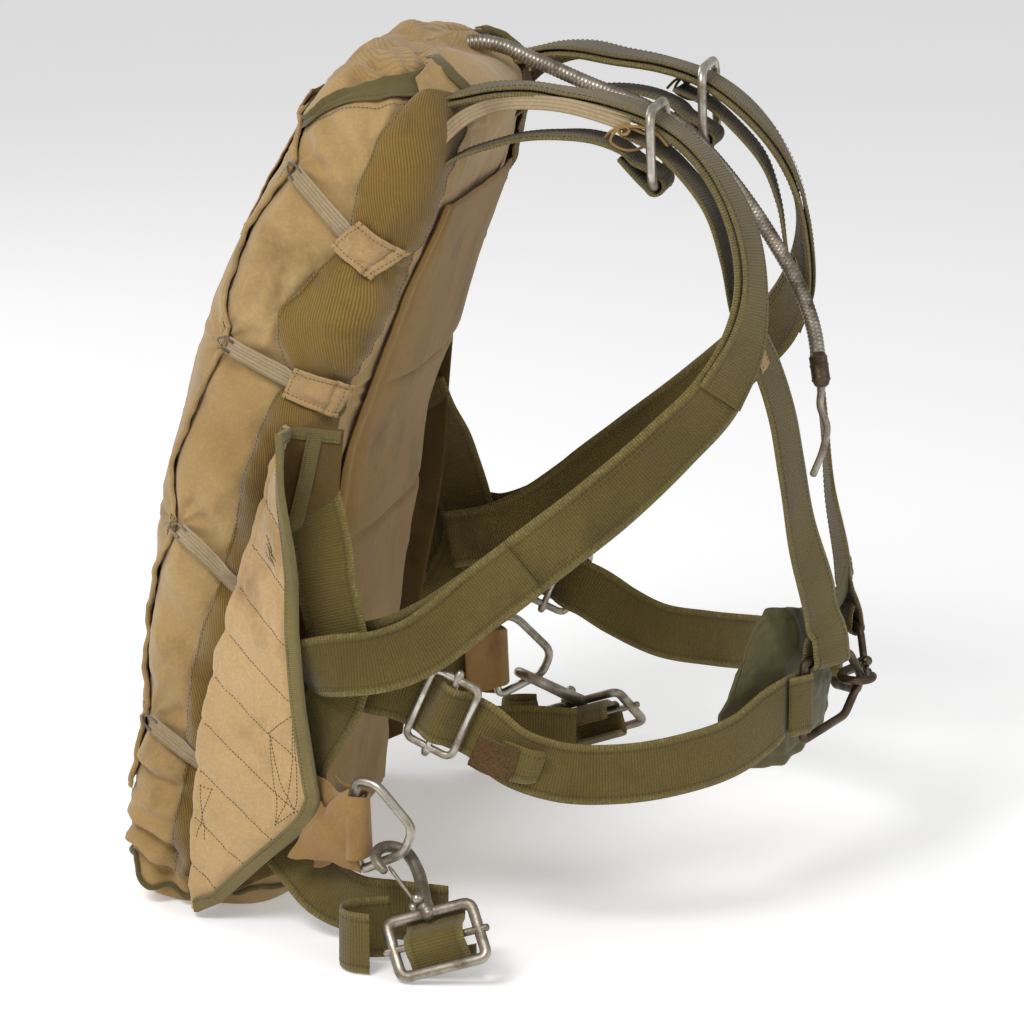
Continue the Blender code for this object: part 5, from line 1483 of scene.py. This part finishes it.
def dress_rings():
    """Rings and adapters: round bars with eased corners, a little flattened where they are forged."""
    lean = np.array([0.04, 0.0, -1.0]) * 28
    wide = np.array([0.0, 32.0, 0.0])
    shoulder = [np.array(SHOULDER_RING) + lean * a + wide * b for a, b in ((-1, -1), (-1, 1), (1, 1), (1, -1))]
    adapter, travel, cross = harness_rows()[1:]
    corners = [adapter + travel * a * 19.0 + cross * b * 28.5 for a, b in ((-1, -1), (1, -1), (1, 1), (-1, 1))]
    for side, tag in BOTH:
        line = even(rounded(shoulder, 14.0) * side, 1.2, closed=True)
        place(sweep("shoulder_link_" + tag, line, WIRE / 2, 24, closed=True), "shoulder_link_" + tag, "plated",
              nodes=("shoulder_ring_" + tag,))
        line = even(rounded(LEG_RING, 8.0) * side, 1.2, closed=True)
        place(sweep("leg_link_" + tag, line, WIRE / 2, 24, closed=True), "leg_link_" + tag, "plated",
              nodes=("leg_ring_" + tag,))
        line = even(rounded(corners, 7.0) * side, 1.2, closed=True)
        frame_mesh = sweep("hip_frame_" + tag, line, 3.0, 20, closed=True, flat=0.9)
        bar = even(np.array([adapter - cross * 34.0, adapter + cross * 34.0]) * side, 1.2)
        gone = np.linspace(-34, 34, len(bar))
        girth = 2.7 + 1.1 * np.exp(-((np.abs(gone) - 30.5) / 2.4) ** 2)
        place(join("hip_frame_" + tag, [frame_mesh, sweep("bar", bar, girth, 18)]), "hip_frame_" + tag, "plated",
              nodes=("hip_adapter_" + tag,))


def snap_parts(name, frame_corners, cut, hold, root, toward, radius, wire, hook_wire, bar, side):
    """Meshes of a snap: its strap frame, the bar across it, a tapered hook and the boss at its root."""
    normal = np.cross((frame_corners[1] - frame_corners[0]) * side, (frame_corners[3] - frame_corners[0]) * side)
    around = even(rounded(frame_corners, cut) * side, 1.2, closed=True)
    in_plane = np.cross(unit(normal), np.roll(around, -1, axis=0) - np.roll(around, 1, axis=0))
    frame_mesh = sweep(name, around, 0.6 * wire, 22, closed=True, flat=0.7, wide=in_plane)
    line, over, down, length = hook_line(hold, root, toward, radius)
    line = even(smooth_rows(line, 2.0), 1.2)
    t = np.linspace(0, 1, len(line))
    girth = np.interp(t, [0, 0.06, 0.3, 0.6, 0.85, 1.0], [0.72, 0.9, 1.0, 1.08, 1.16, 1.3]) * hook_wire / 2
    pin = unit(np.cross(over, down))
    parts = [frame_mesh, sweep("hook", line * side, girth, 22)]
    hinge = np.asarray(hold, float) - 0.33 * radius * over + 0.8 * length * down
    ears = [hinge - pin * 5.2, hinge - pin * 3.9], [hinge + pin * 3.9, hinge + pin * 5.2]
    for ear in ears:
        parts.append(sweep("ear", even(np.array(ear) * side, 0.6), 4.4, 20))
    root = np.asarray(root, float)
    parts.append(sweep("boss", even(np.array([root - down * 6, root + down * 2]) * side, 1.0), 5.4, 22))
    if bar is not None:
        parts.append(sweep("bar", even(np.array(bar) * side, 1.2), 2.8, 18))
    return parts, hinge, over, down, pin


def gate_mesh(name, hold, hinge, over, down, pin, radius, wire, side):
    """Spring gate: a slim bar from the barrel on its hinge up to the inside of the hook's nose."""
    tip = np.asarray(hold, float) - (radius - wire / 2 - 2.9) * over + 0.42 * radius * down
    line = even(np.array([hinge, tip]), 1.0)
    t = np.linspace(0, 1, len(line))
    girth = np.interp(t, [0, 0.15, 0.9, 1.0], [2.2, 1.5, 1.5, 1.1])
    body = sweep(name, line * side, girth, 18, wide=pin * side)
    barrel = sweep("barrel", even(np.array([hinge - pin * 3.2, hinge + pin * 3.2]) * side, 0.8), 2.1, 18)
    return join(name, [body, barrel])


def dress_snaps():
    """Leg snaps and the chest snap, each with its gate riding on its own hinge."""
    corners = np.array(LEG_FRAME, float)
    root = (corners[0] + corners[1]) / 2
    left = (corners[0] + corners[3]) / 2
    right = (corners[1] + corners[2]) / 2
    bar = [left - unit(right - left) * 6, right + unit(right - left) * 6]
    toward = (0.70, 0.71, -0.02)
    for side, tag in BOTH:
        parts, hinge, over, down, pin = snap_parts("leg_hook_" + tag, corners, 7.0, LEG_HOLD, root, toward, 14.0,
                                                   WIRE, 8.8, bar, side)
        place(join("leg_hook_" + tag, parts), "leg_hook_" + tag, "aged", nodes=("leg_snap_" + tag,))
        mesh = gate_mesh("leg_latch_" + tag, LEG_HOLD, hinge, over, down, pin, 14.0, 7.6, side)
        place(mesh, "leg_latch_" + tag, "aged", body="leg_gate_" + tag, nodes=("leg_gate_" + tag,))
    line = even(rounded(CHEST_RING, 5.0), 1.2, closed=True)
    place(sweep("chest_link", line, 3.3, 22, closed=True), "chest_link", "dark", nodes=("chest_ring",))
    parts, hinge, over, down, pin = snap_parts("chest_hook", np.array(CHEST_FRAME, float), 5.0, CHEST_HOLD,
                                               CHEST_HOOK_ROOT, (-1.0, 0.0, 0.0), 12.0, 6.6, 6.6, None, NEAR)
    place(join("chest_hook", parts), "chest_hook", "dark", nodes=("chest_snap",))
    mesh = gate_mesh("chest_latch", CHEST_HOLD, hinge, over, down, pin, 12.0, 6.6, NEAR)
    place(mesh, "chest_latch", "dark", body="chest_gate", nodes=("chest_gate",))


def dress_chest_pad():
    """Chest pad: a soft sateen sheet with a sewn rim, crumpled along its edges."""
    y = np.linspace(-118, 64, 120)
    s = np.linspace(-1, 1, 72)
    high = follow([-118, -85, -30, 20, 50, 64], [158, 232, 222, 226, 245, 236], y)
    low = np.interp(y, [-118, -70, 0, 64], [116, 110, 128, 176])
    z = (high[None, :] + low[None, :]) / 2 + s[:, None] * (high - low)[None, :] / 2
    x = 443.0 - 0.0043 * y[None, :] ** 2 + 0.42 * np.maximum(y, 0.0)[None, :] * ease((z - 188.0) / 34.0)
    grid = np.stack([x, np.broadcast_to(y, z.shape), z], axis=-1)
    across = np.linspace(-1, 1, 120)[None, :]
    thick = 3.0 + 5.0 * (1 - np.abs(s[:, None]) ** 4) * (1 - across ** 8)
    rim = np.maximum(np.abs(s[:, None]), np.abs(across))
    thick = thick - 2.0 * np.exp(-((rim - 0.9) / 0.03) ** 2)
    waves = 2.4 * rumple(grid, 30.0, 31) + 1.1 * rumple(grid, 13.0, 32)
    waves = waves + 1.3 * np.sin(across * 30 + s[:, None] * 4) * rim ** 8
    grid = grid + facing_of(grid) * waves[..., None]
    piece = place(slab("chest_cushion", grid, np.maximum(thick, 1.4)), "chest_cushion", "satin", nodes=("chest_pad",),
                  sharp=60)


def dress_ripcord():
    """Ripcord: a conduit of rounded rings carried along its route, its ferrule, cable, clip and bent rod grip."""
    route = smooth_rows(np.array(HOUSING_ROUTE, float), 2.0)
    line = even(route, 0.42)
    gone = np.arange(len(line)) * 0.42
    radius = 5.2 + 0.75 * np.sqrt(np.abs(np.sin(gone / 3.1 * math.pi)) + 1e-6)
    place(sweep("conduit", line, radius, 20), "conduit", "conduit", nodes=("housing",))
    last = route[-1]
    down = unit(route[-1] - route[-2])
    ferrule = even(np.array([last - down * 6.0, last + down * 14.0]), 0.5)
    t = np.linspace(0, 1, len(ferrule))
    girth = np.interp(t, [0, 0.05, 0.1, 0.3, 0.36, 0.42, 0.86, 0.92, 1.0],
                      [6.6, 7.3, 7.0, 7.0, 7.6, 7.1, 7.1, 7.5, 6.4])
    place(sweep("conduit_ferrule", ferrule, girth, 28), "conduit_ferrule", "dark", nodes=("housing_ferrule",))
    lower = last + down * 17.0
    grip = smooth_rows(np.array(GRIP_ROUTE, float), 1.5)
    grip = even(grip - grip[0] + lower, 1.0)
    place(sweep("grip_rod", grip, 2.9, 18), "grip_rod", "aged", nodes=("ripcord_grip",))
    cable = even(np.array([last + down * 10.0, lower + down * 2.0]), 0.5)
    place(sweep("grip_cable", cable, 1.4, 12), "grip_cable", "snap")


def dress_patches():
    """Suede pieces folded round the drop straps at the leg rings, flaring and drooping away from the bar."""
    leg_ring = np.array(LEG_RING, float)
    bar = (leg_ring[0] + leg_ring[-1]) / 2
    for side, tag in BOTH:
        rows = smooth_rows(eye(bar, DROP_HEADING, leg_ring[0] - leg_ring[-1], 9.6, 13.5, 44, 30), 1.6)
        heading = unit(np.gradient(rows[:, :3], axis=0))
        across = unit(rows[:, 3:6] - heading * np.sum(heading * rows[:, 3:6], axis=1, keepdims=True))
        away = np.linalg.norm(rows[:, :3] - bar, axis=1)
        half = np.interp(away, [9.0, 16.0, 30.0, 46.0], [23.0, 26.0, 33.0, 35.0])[:, None]
        gone = np.linspace(0, 1, len(rows))[:, None]
        s = np.linspace(-1, 1, 41)
        ragged = 1.1 * np.sin(gone * 17 + 1) + 0.3 * np.sin(gone * 41)
        notch = 9.0 * np.exp(-((gone - 0.06) / 0.05) ** 2) * np.exp(-((s[None, :] - 0.3) / 0.35) ** 2)
        grid = rows[:, None, :3] + across[:, None] * ((half + ragged) * s[None, :])[..., None]
        grid = grid + heading[:, None] * notch[..., None]
        curl = 1.8 * rumple(grid, 26.0, 41) + 3.0 * np.sin(3.0 * s[None, :] + 9 * gone) * np.abs(s)[None, :] ** 2
        grid = grid + facing_of(grid) * (curl * ease((away[:, None] - 9) / 14))[..., None]
        grid[..., 2] -= 3.0 * ease((away[:, None] - 14) / 30)
        t = np.linspace(0, 1, 50)[:, None, None]
        u = np.linspace(0, 1, 50)[None, :, None]
        a, b, c, d = (np.array(v, float) for v in ((101, -232, 108), (131, -249, 122), (137, -246, 62), (82, -230, 66)))
        loose = (a * (1 - u) + b * u) * (1 - t) + (d * (1 - u) + c * u) * t
        rim = 3.2 * np.sin(7 * u + 1) * (t - 0.5) + 0.9 * np.sin(19 * u) * (t - 0.5)
        loose = loose + rim * np.array([0.1, 0.0, -1.0]) + 3.0 * np.sin(11 * t) * (0.5 - u) * np.array([1.0, 0.0, 0.2])
        dip = 7.0 * np.exp(-((u - 0.34) / 0.13) ** 2) * np.exp(-((t - 0.0) / 0.25) ** 2)
        loose = loose - dip * np.array([0.0, 0.0, 1.0])
        bulge = 4.0 * np.sin(math.pi * u) * np.sin(math.pi * t) + 2.0 * rumple(loose, 24.0, 43)[..., None]
        loose = loose + np.array([0.1, -1.0, 0.0]) * bulge
        name = "suede_flap_" + tag
        piece = place(slab(name, loose, 1.6, side), name, "suede", sharp=60)
        declare(piece)
        name = "suede_patch_" + tag
        piece = place(slab(name, grid, 1.5, side), name, "suede", nodes=("ring_patch_" + tag,), sharp=60)
        declare(piece)


# Small trims

def seam_tapes():
    """Olive tape under the hood's roll, and piping gathered with the canvas round the bottom edge."""
    seam_table = np.array(HOOD_SEAM, float)
    turn = np.linspace(43.5, 133.0, 200)
    height = follow(seam_table[:, 0], seam_table[:, 1], turn)
    for side, tag in BOTH:
        share = np.linspace(-8.5, 0.8, 12)
        tall = height[:, None] + share[None, :]
        rim = np.exp(-((share + 6.3) / 0.7) ** 2)[None, :] * 0.5
        grid = laid(tall, np.radians(turn)[:, None] * np.ones((1, 12)), 2.7 - rim, 0.9)
        name = "hood_tape_" + tag
        piece = place(slab(name, grid, 1.2, side), name, "binding", sharp=50)
        declare(piece)
        line, out = seam(grid, 2, 0.7)
        name = "hood_tape_stitches_" + tag
        hem = laid(height - 12.5, np.radians(turn), 1.0, 1.0)
        hem_out = pack_facing(height - 12.5, np.radians(turn))
        place(sewing(name, [line * side, hem * side], [out * side, hem_out * side], pitch=3.0, length=2.3, thick=0.6),
              name, "thread", weld=False)
        angle = np.radians(np.linspace(28, 142, 190))
        t = np.linspace(0, 1, 190)
        rise = 13 + 4 * np.sin(9 * t) + 16 * np.exp(-((t - 0.12) / 0.12) ** 2) + 1.6 * np.sin(41 * t)
        wall = laid(rise, angle, 1.8, 1.0)
        wall[:, 2] = np.maximum(wall[:, 2], 2.6)
        name = "bottom_piping_" + tag
        place(sweep(name, even(wall, 1.2) * side, 2.0, 14), name, "binding")


def corner_flaps():
    """Bound corners of the side panels where band, hood and shoulder webbing meet: a curled patch and its tape."""
    for side, tag in BOTH:
        corners = np.array([(626.0, 116.0), (633.5, 134.0), (611.0, 146.0), (606.0, 124.0)])
        t = np.linspace(0, 1, 36)[:, None, None]
        s = np.linspace(0, 1, 36)[None, :, None]
        spots = (corners[0] * (1 - s) + corners[1] * s) * (1 - t) + (corners[3] * (1 - s) + corners[2] * s) * t
        lift = 6.2 + 3.4 * s[..., 0] ** 2 * np.ones((36, 1)) + 0.8 * np.sin(5 * t[..., 0] + 4 * s[..., 0])
        grid = laid(spots[..., 0], np.radians(spots[..., 1]), lift, 0.5)
        grid = grid + facing_of(grid) * (0.8 * rumple(grid, 20.0, 51))[..., None]
        name = "corner_cloth_" + tag
        piece = place(slab(name, grid, 1.8, side), name, "canvas", sharp=60)
        declare(piece)
        for label, line, inner in (("corner_tape_", grid[2:-2, -1], grid[2:-2, -9]),):
            heading = unit(np.gradient(line, axis=0))
            inward = inner - line
            inward = unit(inward - heading * np.sum(heading * inward, axis=1, keepdims=True))
            out = np.cross(heading, inward)
            piece = tape(label + tag, line * side, inward * side, out * side, 8.0, 1.8, 0.9)
            place(piece, label + tag, "binding", sharp=50)


def hip_folds():
    """The sling's fold over the drop strap at the hip, the leather tab and the doubled end beside the adapter."""
    fold = ((250, -199, 285, 84, 0), (224, -203.5, 264, 86, 0), (200, -212, 243, 89, 2), (176, -222, 226, 92, 6),
            (150, -231, 217, 94, 16), (124, -235, 214, 92, 4), (100, -230, 210, 90, -10), (84, -220, 206, 88, -24))
    for side, tag in BOTH:
        dress_strap("hip_fold_web", (), course(fold), tag, side, pace=2.0, edges=(0.82,), sway=1.9)
        tab = ((220, -224, 153, 86, 0), (230, -226.5, 149, 86, 4), (240, -227, 146, 84, 4), (249, -225, 143, 80, 0))
        dress_strap("leather_tab", (), course(tab), tag, side, width=25.0, thick=2.4, colour="leather", edges=(0.8,),
                    pace=1.6, sway=0.4)
        end = ((238, -223, 147, 86, 0), (250, -221, 143, 84, -4), (260, -218, 140, 82, -10),
               (266, -213.5, 139, 80, -16))
        dress_strap("folded_end_web", (), course(end), tag, side, width=26.0, thick=4.4, edges=(0.75,), pace=1.6,
                    sway=0.6)


def shoulder_trims():
    """The sling's second ply, the thin tape beside it, the tacking cord with its knot, the tab on the front strap."""
    for side, tag in BOTH:
        rows = ((168, -147, 574, 70, 40), (180, -145, 590, 74, 36), (196, -140, 604, 80, 30), (218, -138, 613, 84, 24),
                (242, -135, 615, 86, 20), (266, -131, 613, 86, 20), (292, -130, 607, 86, 20), (314, -131, 600, 86, 24))
        ply = np.array(MAIN_SLING[:13], float)
        turn, up = np.radians(ply[:, 3]), np.radians(ply[:, 4])
        ply[:, :3] += 5.0 * np.stack([np.cos(up) * np.cos(turn), -np.cos(up) * np.sin(turn), np.sin(up)], axis=1)
        dress_strap("sling_ply_web", (), course(ply), tag, side, width=41.0, edges=(0.82,), sway=0.6)
        dress_strap("shoulder_tape", (), course(rows), tag, side, width=11.0, thick=1.3, colour="elastic", edges=(),
                    pace=1.6, sway=0.9)
        cord = smooth_rows([(296, -128, 590), (302, -133, 596), (312, -134, 599), (322, -133, 596), (330, -129, 590),
                            (322, -127, 583), (310, -131, 582), (301, -133, 588), (306, -135, 597), (318, -136, 600),
                            (334, -134, 595), (342, -130, 586)], 1.0)
        parts = [sweep("cord", even(cord, 0.8) * side, 1.1, 10)]
        turn = np.linspace(0, 4 * math.pi, 60)
        knot = np.stack([311 + 4.0 * np.cos(turn), -135 + 1.8 * np.sin(turn * 1.5), 597 + 3.2 * np.sin(turn)], axis=1)
        parts.append(sweep("knot", even(knot, 0.8) * side, 1.2, 10))
        name = "tacking_cord_" + tag
        place(join(name, parts), name, "pale thread")
        tab = ((399.5, -116, 462, 12, 12), (403.5, -113, 448, 12, 12), (408.5, -108, 432, 13, 12),
               (412, -104, 420, 14, 12))
        dress_strap("cloth_tab", (), course(tab), tag, side, width=15.0, thick=1.6, colour="sleeve", edges=(0.7,),
                    pace=1.6, sway=0.3)


def dress_trims():
    """Small trims: seam tapes, corner flaps, hip folds, shoulder tape and cord, and tabs."""
    seam_tapes()
    corner_flaps()
    hip_folds()
    shoulder_trims()


# Stage

def build_stage():
    """Pale floor, a large soft key above the near side, a fill, a rim and the camera at the near side."""
    sizes, colours = settings()
    scene = bpy.context.scene
    edge = sizes.floor_size / 2
    t = np.linspace(-edge, edge, 3)
    x, y = np.meshgrid(t, t, indexing="ij")
    points = np.stack([x, y, np.zeros_like(x)], axis=-1).reshape(-1, 3) / MM
    mesh = make_mesh("floor", points, quads(np.arange(9).reshape(3, 3)))
    floor = bpy.data.objects.new("floor", mesh)
    scene.collection.objects.link(floor)
    made, shader, w = start_finish("floor")
    spot = w.node("ShaderNodeTexCoord").outputs["Object"]
    tone = w.mix(w.noise(spot, 1.5, 2.0), tuple(colours.floor), tuple(0.97 * v for v in colours.floor))
    w.tree.links.new(tone, shader.inputs["Base Color"])
    shader.inputs["Roughness"].default_value = 0.85
    shader.inputs["Specular IOR Level"].default_value = 0.1
    shader.inputs["Emission Color"].default_value = (1.0, 1.0, 1.0, 1.0)
    shader.inputs["Emission Strength"].default_value = sizes.floor_glow
    mesh.materials.append(made)
    world = bpy.data.worlds.new("studio")
    world.use_nodes = True
    surround = world.node_tree.nodes["Background"]
    surround.inputs[0].default_value = (1.0, 1.0, 1.0, 1.0)
    surround.inputs[1].default_value = sizes.world_strength
    scene.world = world
    scene.view_settings.view_transform = "Standard"
    middle = Vector((0.20, 0.0, 0.30))
    for name, spot, power, size in (("key", (-0.5, -2.1, 2.5), sizes.key_power, 1.1),
                                    ("fill", (2.4, -1.0, 1.2), sizes.key_power * 0.2, 1.8),
                                    ("rim", (-2.0, 1.4, 1.8), sizes.key_power * 0.3, 1.4)):
        lamp = bpy.data.lights.new(name, "AREA")
        lamp.energy = power
        lamp.size = size
        held = bpy.data.objects.new(name, lamp)
        held.location = spot
        held.rotation_euler = (middle - Vector(spot)).to_track_quat("-Z", "Y").to_euler()
        scene.collection.objects.link(held)
    around = math.radians(12.0)
    rise = math.radians(13.5)
    target = np.array([0.20, 0.0, 0.277])
    back = np.array([math.sin(around) * math.cos(rise), -math.cos(around) * math.cos(rise), math.sin(rise)])
    lens = bpy.data.cameras.new("camera")
    lens.sensor_width = 36.0
    lens.lens = 159.96
    lens.clip_end = 60.0
    held = bpy.data.objects.new("camera", lens)
    held.location = target + back * sizes.camera_distance
    held.rotation_euler = Vector(-back).to_track_quat("-Z", "Y").to_euler()
    scene.collection.objects.link(held)
    scene.camera = held


# Add-on

class ChuteSizes(PropertyGroup):
    """Sizes of the studio and its light."""

    floor_size: FloatProperty(name="Floor", description="Side of the floor", default=60.0, unit="LENGTH")
    camera_distance: FloatProperty(name="Camera distance", description="From the middle of the object", default=3.5,
                                   unit="LENGTH")
    floor_glow: FloatProperty(name="Floor glow", description="How much the floor lights itself", default=0.26)
    key_power: FloatProperty(name="Key light", description="Power of the key light in watts", default=58.0)
    world_strength: FloatProperty(name="Surround", description="Strength of the white surround", default=0.47)


class ChuteColours(PropertyGroup):
    """Colours of the studio."""

    floor: FloatVectorProperty(name="Floor", description="Colour of the floor", subtype="COLOR",
                               default=(0.92, 0.92, 0.92))


def piece_operator(label, make):
    """Operator class that runs one maker of pieces."""

    def execute(self, context):
        make()
        return {"FINISHED"}

    words = make.__name__
    body = {"__doc__": make.__doc__, "bl_idname": "chute." + words, "bl_label": label, "execute": execute}
    return type("CHUTE_OT_" + words, (Operator,), body)


OPERATORS = [piece_operator(label, make) for label, make in (
    ("Camera, light and floor", build_stage),
    ("Container", dress_container),
    ("Side flaps", dress_side_flaps),
    ("Twill bands", dress_side_bands),
    ("Elastics", dress_elastics),
    ("Outer flaps", dress_outer_flaps),
    ("Back pad", dress_pad),
    ("Wing flaps", dress_wings),
    ("Webbing", dress_webbing),
    ("Rings", dress_rings),
    ("Snaps", dress_snaps),
    ("Chest pad", dress_chest_pad),
    ("Ripcord", dress_ripcord),
    ("Suede patches", dress_patches),
    ("Trims", dress_trims),
)]


class CHUTE_PT_panel(Panel):
    """Sidebar panel that lists the sizes, the colours and the steps."""

    bl_label = "Parachute"
    bl_idname = "CHUTE_PT_panel"
    bl_space_type = "VIEW_3D"
    bl_region_type = "UI"
    bl_category = "Parachute"

    def draw(self, context):
        sizes, colours = settings()
        for name in ("floor_size", "camera_distance", "floor_glow", "key_power", "world_strength"):
            self.layout.prop(sizes, name)
        self.layout.prop(colours, "floor")
        for made in OPERATORS:
            self.layout.operator(made.bl_idname)


CLASSES = [ChuteSizes, ChuteColours, *OPERATORS, CHUTE_PT_panel]


def register():
    """Registers the classes and hangs the settings on the scene."""
    for made in CLASSES:
        bpy.utils.register_class(made)
    bpy.types.Scene.chute_sizes = PointerProperty(type=ChuteSizes)
    bpy.types.Scene.chute_colours = PointerProperty(type=ChuteColours)


def unregister():
    """Takes the settings and the classes away again."""
    del bpy.types.Scene.chute_colours
    del bpy.types.Scene.chute_sizes
    for made in reversed(CLASSES):
        bpy.utils.unregister_class(made)


def main():
    """Registers the add-on, makes every piece and writes the size of the model before and after."""
    register()
    make_groups()
    for made in OPERATORS:
        getattr(bpy.ops.chute, made.bl_idname.split(".")[1])()


if __name__ == "__main__":
    main()
